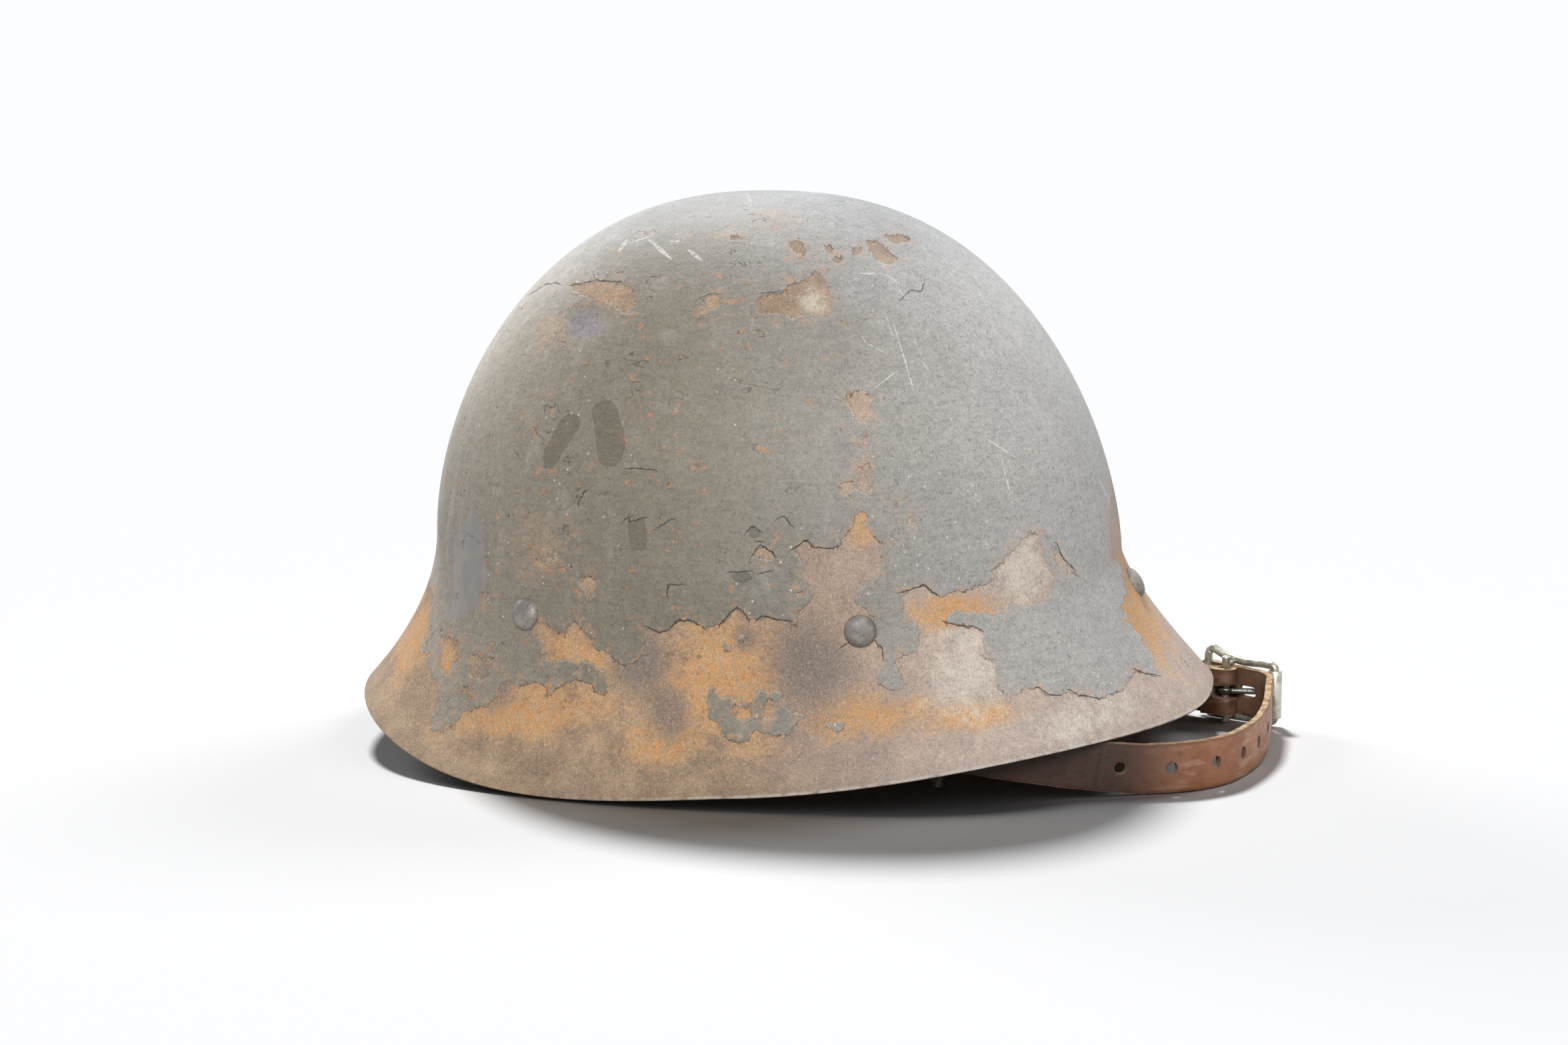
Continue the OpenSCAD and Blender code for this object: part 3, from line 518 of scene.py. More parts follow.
CRACKS = outlines(
    "-52,12.5 -43,12",
    "-52.5,-6 -47,-4.5",
    "-41.5,-7.5 -39.5,-6 -38,-5.5",
    "-11.5,-9 -9.5,-7 -7,-9",
    "-0.5,-4.5 1,-4 3.5,-6.5",
    "-10,-18 -7.5,-13.5 -3,-16 -2,-17.5",
    "4,-15.5 6.5,-13.5 9,-12 11,-14.5 18,-15",
    "-17.5,-23 -11,-23",
    "-6.5,-23.5 -5,-23 -4,-23",
    "-39,-31.5 -39,-27 -34.5,-27.5",
    "-46,-42 -41.5,-44 -38,-43 -35.5,-39.5 -31.5,-39.5 -28.5,-41",
    "-21,-41.5 -18.5,-38.5 -15,-35 -12.5,-37 -11,-39.5",
    "-8,-39.5 -5.5,-38 -1.5,-39.5 2.5,-40",
    "41.5,-30 49.5,-27.5 53.5,-31",
    "56.5,-40.5 61,-41.5 65,-41.5 68.5,-43",
    "89,-63 92,-65 95.5,-65.5",
    "99.5,-63.5 101.5,-65",
    "104,-65.5 109,-66.5",
    "122,-56.5 125.5,-58 129,-58.5",
    "-28,70.5 -25.5,72 -21.5,72.5",
    "41.5,70.5 44.5,73.5 48.5,73.5 49,76",
    "-6,72.5 -1.5,73",
    "-71.5,75.5 -63,77 -55,76.5",
    "-85.5,72.5 -80,76 -76,76",
    "-68.5,3 -66.5,5",
    "-69.5,0 -68.5,2.5",
    "-53.5,-5.5 -52.5,-4",
    "95,-13.5 96.5,-17.5 99,-20.5",
    "99,-20.5 100.5,-21.5 101,-23",
    "35,-52 35,-49 33,-47.5",
    "21,-49 23,-47.5",
)
SCRAPES = (
    (-55.5, 87, -52.5, 91, 0.6),
    (-53, 89.5, -42.5, 93, 0.2),
    (-45, 91, -37.5, 84.5, 0.7),
    (-31.5, 87.5, -27, 84, 0.7),
    (-38, 90.5, -33.5, 90.5, 0.3),
    (-36.5, 92.5, -34, 93.5, 0.2),
    (-11.5, 107, -10, 103.5, 0.5),
    (26, 79.5, 35.5, 79.5, 0.3),
    (35.5, 79.5, 41, 76, 0.3),
    (26, 60.5, 29.5, 55.5, 0.2),
    (29.5, 55.5, 36.5, 52, 0.2),
    (38.5, 63.5, 46, 38.5, 0.3),
    (36, 66, 39, 56.5, 0.2),
    (31.5, 39.5, 40, 46, 0.2),
    (45.5, 58, 49, 50, 0.2),
    (48.5, 49.5, 51.5, 45, 0.2),
    (40, 74.5, 43.5, 71, 0.2),
    (75.5, 17.5, 80, -0.5, 0.2),
    (71, 22.5, 82, 15.5, 0.2),
    (109.5, 8.5, 113, 1, 0.3),
)
# Ovals: middle across and up, half width, half height, turn in degrees
ORANGE = ((-17, -60, 25, 27, 0), (-84, -70, 32, 12, 5), (-125, -45, 6, 20, -20), (122, -36, 8, 22, 25),
          (28, -8, 6, 8, 0), (-72, -50, 16, 9, -30), (60, -36, 16, 7, 5), (-116, -52, 5, 12, 20),
          (66, -72, 22, 6, 10), (30, -72, 26, 10, 0), (-40, -82, 18, 9, 10))
SOOT = ((-48, -54, 11, 12, 0), (9, -56, 17, 20, 20), (-66, 63.5, 9, 6, 20), (-12, -46, 5, 6, 0),
        (-38, -72, 7, 12, 10), (-98, -62, 8, 9, 0))
PALE = ((83, -21, 12, 12, 30), (63, -47, 8, 6, 0), (10, 70, 5, 5, 0), (66, -60, 18, 14, 0),
        (104, -74, 20, 8, 15), (-67, 30, 5, 12, 10))
FILM = ((-78, 60, 11, 8, 20), (-1, 97, 8, 6, 0), (-128, 10, 6, 24, 0), (-84, -14, 14, 16, 0))
KNOCK = (-66, 63.5)
print(len(COAT), "coats", len(CHIPS), "chips", len(CRACKS), "cracks")

# %% Distances to the marks
def sight(points):
    """Places of points in mm on the plane of the aim, as seen from the camera."""
    away = points - np.array(AIM) / MM
    deep = away @ np.array(ahead) + AWAY / MM
    return np.stack([away @ np.array(across), away @ np.array(upward)], 1) * (AWAY / MM / deep)[:, None]


def to_line(points, line, closed):
    """Signed distance to a line of points, in mm; the sign is the side of its nearest stretch."""
    ends = np.roll(line, -1, 0) if closed else line[1:]
    best = np.full(len(points), 99.0)
    for start, end in zip(line, ends):
        way = end - start
        rel = points - start
        along = np.clip(rel @ way / (way @ way), 0, 1)
        gap = np.hypot(*(rel - along[:, None] * way).T)
        side = np.where(way[0] * rel[:, 1] - way[1] * rel[:, 0] < 0, -1, 1)
        best = np.where(gap < abs(best), gap * side, best)
    return best


def within(points, line):
    x, y = points.T
    odd = np.zeros(len(points), bool)
    for (ax, ay), (bx, by) in zip(line, np.roll(line, -1, 0)):
        if ay != by:
            odd ^= ((ay > y) != (by > y)) & (x < (bx - ax) * (y - ay) / (by - ay) + ax)
    return odd


def depth_in(points, shapes, reach=12.0):
    """How deep each point lies inside the outlines, in mm; outside it is negative."""
    field = np.full(len(points), -reach)
    for line in shapes:
        near = ((points > line.min(0) - reach) & (points < line.max(0) + reach)).all(1)
        gap = abs(to_line(points[near], line, True)).clip(0, reach)
        field[near] = np.maximum(field[near], np.where(within(points[near], line), gap, -gap))
    return field


def in_ovals(points, ovals):
    """1 in the middle of an oval, 0 at its edge, and negative outside."""
    field = np.full(len(points), -1.0)
    for across_at, up_at, wide, high, turn in ovals:
        c, s = math.cos(math.radians(turn)), math.sin(math.radians(turn))
        x, y = (points - [across_at, up_at]).T
        field = np.maximum(field, 1 - np.hypot((x * c + y * s) / wide, (y * c - x * s) / high))
    return field


def marks_at(points):
    """All fields at places on the sight plane."""
    crack = np.full(len(points), 6.0)
    for line in CRACKS:
        near = ((points > line.min(0) - 6) & (points < line.max(0) + 6)).all(1)
        gap = to_line(points[near], line, False)
        crack[near] = np.where(abs(gap) < abs(crack[near]), gap, crack[near])
    coat_at = lambda places: np.minimum(depth_in(places, COAT), -depth_in(places, CHIPS))
    coat = coat_at(points)
    return {
        "coat": coat, "lip": (coat_at(points + [0, 0.8]) - coat) / 0.8,
        "old_coat": depth_in(points, OLD_COAT), "patch": depth_in(points, SMOOTH_PATCH),
        "orange": in_ovals(points, ORANGE), "soot": in_ovals(points, SOOT),
        "pale": in_ovals(points, PALE), "film": in_ovals(points, FILM),
        "crack": crack, "crack_near": (1 - abs(crack) / 1.7).clip(0, 1)}


def wear_map(mesh):
    """Stores the fields on a mesh: the near side as drawn, the far side turned half round."""
    count = len(mesh.vertices)
    place, normal = np.zeros(count * 3), np.zeros(count * 3)
    mesh.vertices.foreach_get("co", place)
    mesh.vertex_normals.foreach_get("vector", normal)
    place, normal = place.reshape(-1, 3) / MM, normal.reshape(-1, 3)
    half_turn = np.array([-1, -1, 1])
    deep = np.zeros(count)
    mesh.attributes["depth"].data.foreach_get("value", deep)
    normal[deep > SHEET / 2] *= -1
    eye = np.array(camera.location) / MM
    facing = [((eye - p) * n).sum(1) / np.linalg.norm(eye - p, axis=1)
              for p, n in ((place, normal), (place * half_turn, normal * half_turn))]
    near = np.clip((facing[0] - facing[1]) / 0.3 + 0.5, 0, 1)
    views = [sight(place), sight(place * half_turn)]
    first, second = marks_at(views[0]), marks_at(views[1])
    for name in first:
        layer = mesh.attributes.new(name, "FLOAT", "POINT")
        layer.data.foreach_set("value", first[name] * near + second[name] * (1 - near))
    plane = np.where(near[:, None] > 0.5, views[0], views[1])
    layer = mesh.attributes.new("sight", "FLOAT_VECTOR", "POINT")
    layer.data.foreach_set("vector", np.column_stack([plane, np.zeros(count)]).ravel())


def aimed_at(target):
    """The point of the outer surface, in mm, that shows at a place of the sight plane."""
    turns, rises = np.meshgrid(np.radians(np.arange(180, 360, 1.0)), np.arange(0.02, 1.98, 0.01))
    points = np.stack([v.ravel() for v in shell_rule(turns, rises)], 1)
    return points[np.argmin(((sight(points) - target) ** 2).sum(1))]


shell = grow("helmet_shell", shell_tree(), Knock_Place=tuple(float(v) for v in aimed_at(KNOCK)))
shell.data.shade_smooth()
shell.data.set_sharp_from_angle(angle=math.radians(20))
wear_map(shell.data)

# %% [markdown]
# ## A finish is a stack of Flows
# Every material here works the same way: a few noises of different sizes, a colour mixed from them,
# a roughness, and a height in metres for the bumps. Finish keeps those steps in one place.

# %% Small tools for finishes
def grey(value):
    return (value, value, value, 1)


class Finish:
    def __init__(self, name):
        self.material = bpy.data.materials.new(name)
        self.material.use_nodes = True
        self.tree = self.material.node_tree
        self.shader = self.tree.nodes["Principled BSDF"]
        self.place = Flow(self.tree, self.tree.nodes.new("ShaderNodeTexCoord").outputs["Object"])

    def noise(self, size, detail=3, rough=0.55, at=None):
        """Noise around 0.5 with blobs about size mm wide."""
        return add(self.tree, "ShaderNodeTexNoise", Vector=at or self.place,
                   Scale=1000 / size, Detail=float(detail), Roughness=rough)

    def cells(self, size, feature="F1", at=None):
        """The distance to the middle, or to the edge, of cells about size mm wide."""
        return add(self.tree, "ShaderNodeTexVoronoi", {"feature": feature}, "Distance",
                   Vector=at or self.place, Scale=1000 / size)

    def field(self, name, out="Fac"):
        node = self.tree.nodes.new("ShaderNodeAttribute")
        node.attribute_name = name
        return Flow(self.tree, node.outputs[out])

    def parts(self, vector):
        split = self.tree.nodes.new("ShaderNodeSeparateXYZ")
        plug(self.tree, vector, split.inputs[0])
        return [Flow(self.tree, o) for o in split.outputs]

    def stretch(self, x, y, z):
        return self.place.vector("MULTIPLY", combine(self.tree, x, y, z))

    def mix(self, first, second, amount):
        node = self.tree.nodes.new("ShaderNodeMix")
        node.data_type = "RGBA"
        for value, slot in ((amount, 0), (first, 6), (second, 7)):
            plug(self.tree, value, node.inputs[slot])
        return Flow(self.tree, node.outputs[2])

    def layers(self, colour, *pairs):
        """Tones laid over a colour one after another, each by its own amount."""
        for shown, amount in pairs:
            colour = self.mix(colour, tone(*shown), amount)
        return colour

    def shade(self, colour, factor):
        """A colour made darker or lighter by a number."""
        return colour.vector("SCALE", factor)

    def finish(self, colour, rough, height=None, metal=0.0, specular=0.5):
        for value, name in ((colour, "Base Color"), (rough, "Roughness"), (metal, "Metallic"),
                            (specular, "Specular IOR Level")):
            plug(self.tree, value, self.shader.inputs[name])
        if height is not None:
            bump = add(self.tree, "ShaderNodeBump", Height=height, Distance=1.0, Strength=1.0)
            plug(self.tree, bump, self.shader.inputs["Normal"])
        return self.material


# %% [markdown]
# ## Paint over rust
# From the metal up: rusted steel, mauve-brown with grey and orange specks, brighter orange where water
# stood and darker where it stained; then the coat that is left, in tones that drift from the sides of
# the helmet to its middle, with an older and darker coat in a few places. The coat's edge is a real
# step, so it goes into the height as well as the colour. Scrapes are thin lines between two points.

# %% The shell's finish
def scrape_group():
    """1 on a thin line between two points of the sight plane, fading at its ends."""
    tree = bpy.data.node_groups.new("scrape", "ShaderNodeTree")
    for name, kind in (("Place", "Vector"), ("Start", "Vector"), ("End", "Vector"), ("Half Width", "Float")):
        tree.interface.new_socket(name, in_out="INPUT", socket_type="NodeSocket" + kind)
    tree.interface.new_socket("Line", in_out="OUTPUT", socket_type="NodeSocketFloat")
    source, end = tree.nodes.new("NodeGroupInput"), tree.nodes.new("NodeGroupOutput")
    place, start, stop, half = [Flow(tree, o) for o in source.outputs[:4]]
    way, rel = stop.vector("SUBTRACT", start), place.vector("SUBTRACT", start)
    along = (rel.vector("DOT_PRODUCT", way, 1) / way.vector("DOT_PRODUCT", way, 1)).clip()
    gap = rel.vector("SUBTRACT", way.vector("SCALE", along)).vector("LENGTH", out=1)
    thin = half * (0.35 + (along * math.pi).math("SINE") * 0.65)
    plug(tree, (gap / thin).step(0.5, 1.1, 1.0, 0.0), end.inputs[0])
    return tree


def shell_finish():
    f = Finish("shell_paint")
    rise, deep, view = f.field("rise"), f.field("depth"), f.field("sight", "Vector")
    rearward, sideways, _ = f.parts(f.place)
    wide, mid, small, grain = f.noise(42, 3), f.noise(12, 4), f.noise(3.2, 4), f.noise(0.8, 3, 0.7)
    dots, dust = f.noise(1.3, 3, 0.8), f.noise(0.55, 2, 0.7)
    runs = f.noise(8, 3, 0.5, f.stretch(1, 1, 0.3))
    ragged = (f.noise(4.5, 4, 0.62) - 0.5) * 4.4 + (f.noise(1.6, 3, 0.75) - 0.5) * 3.2
    brush = f.noise(2.2, 4, 0.7, f.stretch(0.3, 0.3, 1.6))
    fine = (dots - 0.5) * 0.7 + (dust - 0.5) * 1.1 + 1
    rust_grain = (mid - 0.5) * 0.25 + (small - 0.5) * 0.35 + fine
    coat_grain = (mid - 0.5) * 0.2 + (small - 0.5) * 0.4 + (brush - 0.5) * 0.5 + fine
    # the tones drift from either side of the helmet to its middle: fitted, no law of wear
    drift = abs(sideways).step(RIM_OVAL[2] * MM, 0.0, 0.64, 1.04)
    broad = drift + (wide - 0.5) * 0.3
    # rusted steel
    rust = f.mix(tone(144, 122, 101), tone(166, 143, 117), mid.step(0.3, 0.7))
    rust = f.layers(rust, ((152, 130, 116), wide.step(0.45, 0.62) * 0.6),
                    ((184, 170, 161), rearward.step(-0.01, 0.09) * 0.7))
    rust = f.mix(rust, f.shade(rust, 0.82), runs.step(0.5, 0.7) * 0.5)
    orange = f.field("orange") * 1.3 + (mid - 0.5) * 2.4 + (small - 0.5) * 1.6 + (dots - 0.5)
    orange = orange.step(-0.3, 0.9)
    bright = f.mix(tone(200, 150, 96), tone(182, 149, 112), small.step(0.36, 0.62))
    rust = f.mix(rust, bright, orange * 0.9)
    pale = f.field("pale") + (small - 0.5) * 1.7 + (dots - 0.5) * 0.9 + (mid - 0.5) * 1.4
    soot = f.field("soot") + (mid - 0.5) * 1.5 + (small - 0.5) * 0.9
    rust = f.layers(rust, ((198, 132, 78), dots.step(0.52, 0.66) * (orange * 0.45 + 0.14)),
                    ((200, 192, 180), pale.step(-0.3, 0.9) * 0.55),
                    ((118, 108, 101), soot.step(-0.25, 0.7) * 0.75),
                    ((180, 174, 166), dust.step(0.55, 0.72) * 0.4),
                    ((104, 84, 70), dots.step(0.4, 0.28) * 0.35))
    rust = f.shade(rust, rust_grain)
    # the coat that is left
    edge = f.field("coat") + ragged
    on = edge.step(-0.1, 0.1)
    coat = f.mix(tone(132, 127, 117), tone(203, 207, 213), broad.step(0.65, 1.3))
    coat = f.layers(coat, ((162, 160, 157), rearward.step(0.0, 0.1) * 0.75),
                    ((196, 188, 176), rearward.step(-0.03, -0.1) * 0.85),
                    ((114, 106, 91), broad.step(1.18, 0.88) * rearward.step(0.04, -0.03) * 0.75))
    coat = f.mix(coat, f.shade(coat, 0.84), wide.step(0.46, 0.64) * 0.4)
    smear = f.noise(9, 4, 0.65, f.stretch(1, 1, 0.45))
    film = f.field("film") + (mid - 0.5) * 1.9 + (small - 0.5) * 1.4
    # the knock's hollow, in mm of the sight plane from its middle, as an oval
    hollow = view.vector("SUBTRACT", (-67, 61, 0)).vector("MULTIPLY", (0.13, 0.19, 0))
    hollow = hollow.vector("LENGTH", out=1) + (mid - 0.5) * 1.2
    bleed = edge.step(5, 0.2) * (small * 0.55 + dots * 0.45).step(0.5, 0.6)
    through = (f.noise(5, 4, 0.74) + edge.step(24, 2) * 0.05).step(0.655, 0.68)
    through = through * drift.step(1.2, 0.9) * rearward.step(0.06, 0.0)
    scuffs = f.cells(30, "DISTANCE_TO_EDGE").step(0.007, 0.002) * f.noise(7, 3).step(0.52, 0.62)
    sparks = f.cells(3.4).step(0.14, 0.05) * wide.step(0.44, 0.6)
    coat = f.layers(coat, ((196, 193, 187), smear.step(0.54, 0.74) * (drift.step(0.6, 1.5) * 0.4 + 0.12)),
                    ((168, 138, 108), film.step(-0.1, 1.0) * 0.35),
                    ((124, 117, 124), hollow.step(1.05, 0.6) * sideways.step(0.02, 0.0) * 0.75),
                    ((176, 134, 96), bleed * 0.55),
                    ((170, 124, 90), through * 0.75),
                    ((204, 202, 198), scuffs * drift.step(0.7, 1.2) * 0.4),
                    ((216, 212, 204), sparks * 0.7),
                    ((106, 98, 86), dots.step(0.42, 0.28) * 0.6))
    old = (f.field("old_coat") + ragged * 0.18).step(-0.1, 0.1)
    coat = f.mix(coat, f.mix(f.shade(coat, 0.62), tone(116, 107, 90), 0.3), old)
    patch = (f.field("patch") + ragged * 0.5).step(-0.4, 0.8)
    smooth = f.mix(tone(128, 125, 122), tone(140, 135, 131), mid.step(0.4, 0.6))
    coat = f.mix(f.shade(coat, coat_grain), smooth, patch * 0.9)
    colour = f.mix(rust, coat, on)
    # painted shadow under a flake's lower lip, a painted highlight along its upper edge, and the cracks: a groove in
    # the height with its shade painted dark
    above = f.field("lip")
    lip = (abs(edge + 0.12) * -1).step(-0.3, -0.05) * above.step(0.2, 0.8) * small.step(0.36, 0.54)
    painted_edge_highlight = (abs(edge - 0.3) * -1).step(-0.35, -0.05) * above.step(0.0, -0.6)
    crack = f.field("crack") + (small - 0.5) * 1.4 + (grain - 0.5) * 0.5
    split = (abs(crack) * -1).step(-0.26, -0.08) * f.field("crack_near").step(0.0, 0.3)
    hair = abs(f.noise(11, 3, 0.6, f.stretch(0.7, 0.7, 1.4)) - 0.5).step(0.01, 0.003)
    hair = hair * f.noise(10, 2).step(0.57, 0.62) * drift.step(0.5, 0.8) * rearward.step(0.05, 0.0)
    split = split.math("MAXIMUM", hair * on * 0.7)
    # scrapes down to bright metal
    group, lines = scrape_group(), 0.0
    for x0, y0, x1, y1, half in SCRAPES:
        line = add(f.tree, "ShaderNodeGroup", {"node_tree": group}, Place=view,
                   Start=(x0, y0, 0), End=(x1, y1, 0), Half_Width=half * 1.3)
        lines = line.math("MAXIMUM", lines)
    scrape = lines * f.noise(1.6, 3, 0.7).step(0.36, 0.56)
    # painted shadow, painted highlight and painted crack shade, then the scrapes, laid over the colour
    colour = f.layers(colour, ((74, 58, 44), lip * 0.8), ((206, 196, 180), painted_edge_highlight * 0.35),
                      ((42, 36, 31), split * 0.9), ((218, 216, 211), scrape * 0.6))
    # painted shade: up to a fifth darker over all but the rear, a little less towards the sides, and
    # darker on the far side, to offset the lamp high behind, under which it would look bleached
    front_painted_shade = 1 - drift.step(0.4, 0.75) * rearward.step(0.1, 0.02) * 0.2
    colour = f.shade(colour, front_painted_shade * sideways.step(-0.02, 0.09, 1.0, 0.8))
    # painted light and shade: the upper dome up to 15 per cent lighter, the crown about a fifth darker to offset the
    # same lamp
    colour = f.shade(colour, rise.step(1.15, 1.35, 1.0, 1.15) * rise.step(1.5, 1.85, 1.0, 0.68))
    # a darker band along the rim, the rubbed rim, the inside, and the raw edge, whose inner half is painted shade
    colour = f.mix(colour, f.shade(colour, 0.85), rise.step(0.09, 0.04) * 0.6)
    rubbed = rise.step(0.034, 0.022) * rearward.step(-0.09, 0.03) * small.step(0.38, 0.54)
    colour = f.mix(colour, tone(186, 180, 172), rubbed * 0.6)
    inner = f.mix(tone(104, 96, 80), tone(128, 96, 70), (mid + small * 0.5).step(0.65, 0.85))
    colour = f.mix(colour, f.shade(inner, coat_grain), deep.step(1.0, 1.15))
    bare = deep.step(0.05, 0.25) * deep.step(0.95, 1.15, 1.0, 0.0)
    raw = f.mix(tone(88, 76, 66), tone(138, 132, 125),
                small.step(0.44, 0.6) * rearward.step(-0.08, 0.03))
    # painted shade on the raw edge's inner half
    colour = f.mix(colour, f.mix(raw, tone(58, 50, 44), deep.step(0.2, 0.5)), bare)
    rough = f.mix(f.mix(grey(0.84), grey(0.6), on), grey(0.42), patch * on)
    height = (on * 0.00018 + (grain - 0.5) * 0.00006 + (small - 0.5) * 0.00016 + (dots - 0.5) * 0.0001
              - split * 0.00014 + (1 - on) * (dots - 0.5) * 0.00016 - scrape * 0.00003)
    return f.finish(colour, rough, height, specular=0.4)


dress(shell.data, shell_finish())
keep(shell, "helmet", "shell_paint", "shell")

# %% [markdown]
# ## Rivets
# Five domed rivets hold the liner and the strap tabs. A rivet is a turned shape, so its profile is spun
# round an axis: head outside, shank through the sheet, and a tail inside that a hammer has spread
# over a washer. Geometry Nodes then sets one such rivet on each of five seats, turned to the
# surface, and roughens every head a little so that no two look the same.

# %% A spun mesh, and points under the shell
def mesh_of(name, points, faces):
    """A mesh from points in mm whose faces are made to look outwards."""
    mesh = bpy.data.meshes.new(name)
    mesh.from_pydata((np.asarray(points, float) * MM).tolist(), [], faces)
    tidy = bmesh.new()
    tidy.from_mesh(mesh)
    bmesh.ops.remove_doubles(tidy, verts=tidy.verts, dist=1e-7)
    bmesh.ops.recalc_face_normals(tidy, faces=tidy.faces)
    if tidy.calc_volume(signed=True) < 0:
        bmesh.ops.reverse_faces(tidy, faces=tidy.faces)
    tidy.to_mesh(mesh)
    tidy.free()
    mesh.shade_smooth()
    return mesh


def piece(name, mesh, material):
    dress(mesh, material)
    made = bpy.data.objects.new(name, mesh)
    scene.collection.objects.link(made)
    print(name, len(mesh.polygons), "faces")
    return made


def skin_faces(rows, columns, close_rows=False, close_columns=True):
    """Quads between rows of points that lie one after another."""
    return [(j * columns + i, j * columns + k, m * columns + k, m * columns + i)
            for j in range(rows if close_rows else rows - 1) for m in ((j + 1) % rows,)
            for i in range(columns if close_columns else columns - 1) for k in ((i + 1) % columns,)]


def end_caps(count, columns):
    """The two end faces of a skin of count points in rows of columns."""
    return [tuple(range(columns)), tuple(range(count - 1, count - columns - 1, -1))]


def lathe(profile, steps=40, close=False):
    """Points and faces of a profile of (radius, height) spun round Z."""
    turns = np.arange(steps) * 2 * math.pi / steps
    points = [(r * math.cos(t), r * math.sin(t), h) for r, h in profile for t in turns]
    return points, skin_faces(len(profile), steps, close)


def normal_at(turn, rise):
    near = lambda a, b: np.stack(shell_rule(turn + a, np.minimum(rise + b, 2)), -1)
    out = np.cross(near(TURN_STEP, 0) - near(-TURN_STEP, 0), near(0, RISE_STEP) - near(0, -RISE_STEP))
    return out / np.linalg.norm(out, axis=-1, keepdims=True)


def under(turn, rise, depth):
    """Points at a depth under the shell's outside, in mm."""
    turn, rise = np.broadcast_arrays(np.asarray(turn, float), np.asarray(rise, float))
    return np.stack(shell_rule(turn, rise), -1) - normal_at(turn, rise) * np.asarray(depth)[..., None]


def rise_at(turn, height):
    """The rise at which the outside reaches a height in mm."""
    c = np.cos(turn)
    rim_z = blend(c, *RIM_Z) - np.cos(3 * turn) * RIM_WAVE
    waist_z = blend(c, *WAIST_Z)
    dome = np.clip((height - waist_z) / (CROWN - waist_z), 0, 1)
    skirt = np.clip((height - rim_z) / (waist_z - rim_z), 0, 1)
    return skirt + np.arcsin(dome ** (DOME_LIFT / 2)) * 2 / math.pi


# %% Rivets on their seats
RIVET_TURNS = {"rear": 0, "side_left": 72, "side_right": -72, "front_left": 126, "front_right": -126}
RIVET_HEIGHT = 56
HEAD_RADIUS, HEAD_HIGH = 5.3, 3.0
dome = [(HEAD_RADIUS * math.sin(a), -0.1 + HEAD_HIGH * math.cos(a) ** 0.8 if a < 1.5 else 0.1)
        for a in np.linspace(1.57, 0.0, 14)]
rivet_profile = [(0.01, -7.0), (1.6, -6.95), (2.7, -6.6), (3.15, -6.1), (3.1, -5.75), (2.0, -5.7),
                 (2.0, -0.1), (5.0, -0.25), (5.3, -0.1)] + dome[1:-1] + [(0.01, 2.9)]
rivet_shape = bpy.data.objects.new("rivet_shape", mesh_of("rivet_shape", *lathe(rivet_profile)))


def rivet_tree():
    tree, given, end = new_tree("rivets", [("Geometry", "Geometry", None), ("Rivet", "Object", None),
                                           ("Hammering", "Float", 0.12), ("Material", "Material", None)])
    shape = add(tree, "GeometryNodeObjectInfo", out="Geometry", Object=given["Rivet"])
    turned = along_stored(tree, "out")
    heads = add(tree, "GeometryNodeInstanceOnPoints",
                Points=given["Geometry"], Instance=shape, Rotation=turned)
    solid = add(tree, "GeometryNodeRealizeInstances", Geometry=heads)
    rough = add(tree, "ShaderNodeTexNoise", out=1, Scale=420.0, Detail=2.0)
    offset = rough.vector("SUBTRACT", (0.5, 0.5, 0.5)).vector("SCALE", given["Hammering"] * MM * 2)
    solid = add(tree, "GeometryNodeSetPosition", Geometry=solid, Offset=offset)
    finish_tree(tree, end, solid, given["Material"])
    return tree


seats = bpy.data.meshes.new("rivets")
turns = np.radians([float(v) for v in RIVET_TURNS.values()])
rises = rise_at(turns, RIVET_HEIGHT)
seats.from_pydata((under(turns, rises, 0.05) * MM).tolist(), [], [])
layer = seats.attributes.new("out", "FLOAT_VECTOR", "POINT")
layer.data.foreach_set("vector", normal_at(turns, rises).ravel())


def rivet_finish():
    f = Finish("rivet_paint")
    mid, small, grain = f.noise(6, 3), f.noise(1.8, 4, 0.65), f.noise(0.6, 2)
    colour = f.mix(tone(104, 100, 95), tone(134, 129, 122), mid.step(0.4, 0.62))
    colour = f.mix(colour, tone(150, 112, 82), (small * 0.7 + mid * 0.3).step(0.56, 0.66) * 0.65)
    colour = f.mix(colour, tone(70, 62, 56), small.step(0.42, 0.32) * 0.7)
    height = (small - 0.5) * 0.00016 + (grain - 0.5) * 0.00005
    return f.finish(colour, f.mix(grey(0.36), grey(0.62), small.step(0.4, 0.6)), height)


rivets = grow("rivet_heads", rivet_tree(), seats, Rivet=rivet_shape, Material=rivet_finish())
rivets.data.shade_smooth()
keep(rivets, "helmet", "rivet_paint", *["rivet_" + name for name in RIVET_TURNS])
bpy.data.objects.remove(rivet_shape)

# %% [markdown]
# ## Plain steel inside
# The liner band, its washers and spacers, the strap tabs and the wire hangers are simple stampings and
# bent wire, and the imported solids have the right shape. They only get the dull finish of old steel:
# grey, a little brown in the hollows, and rubbed brighter here and there.

# %% Aged steel
def steel_finish(name, bright=1.0):
    f = Finish(name)
    mid, small, grain = f.noise(9, 3), f.noise(2.2, 4, 0.65), f.noise(0.5, 2)
    colour = f.mix(tone(120, 112, 102), tone(150, 145, 138), mid.step(0.4, 0.6))
    colour = f.mix(colour, tone(118, 82, 58), (small * 0.6 + mid * 0.4).step(0.52, 0.64) * 0.8)
    colour = f.shade(f.mix(colour, tone(70, 60, 52), small.step(0.4, 0.28) * 0.6), bright)
    height = (small - 0.5) * 0.0001 + (grain - 0.5) * 0.00003
    return f.finish(colour, f.mix(grey(0.42), grey(0.75), small.step(0.4, 0.6)), height, 0.55)


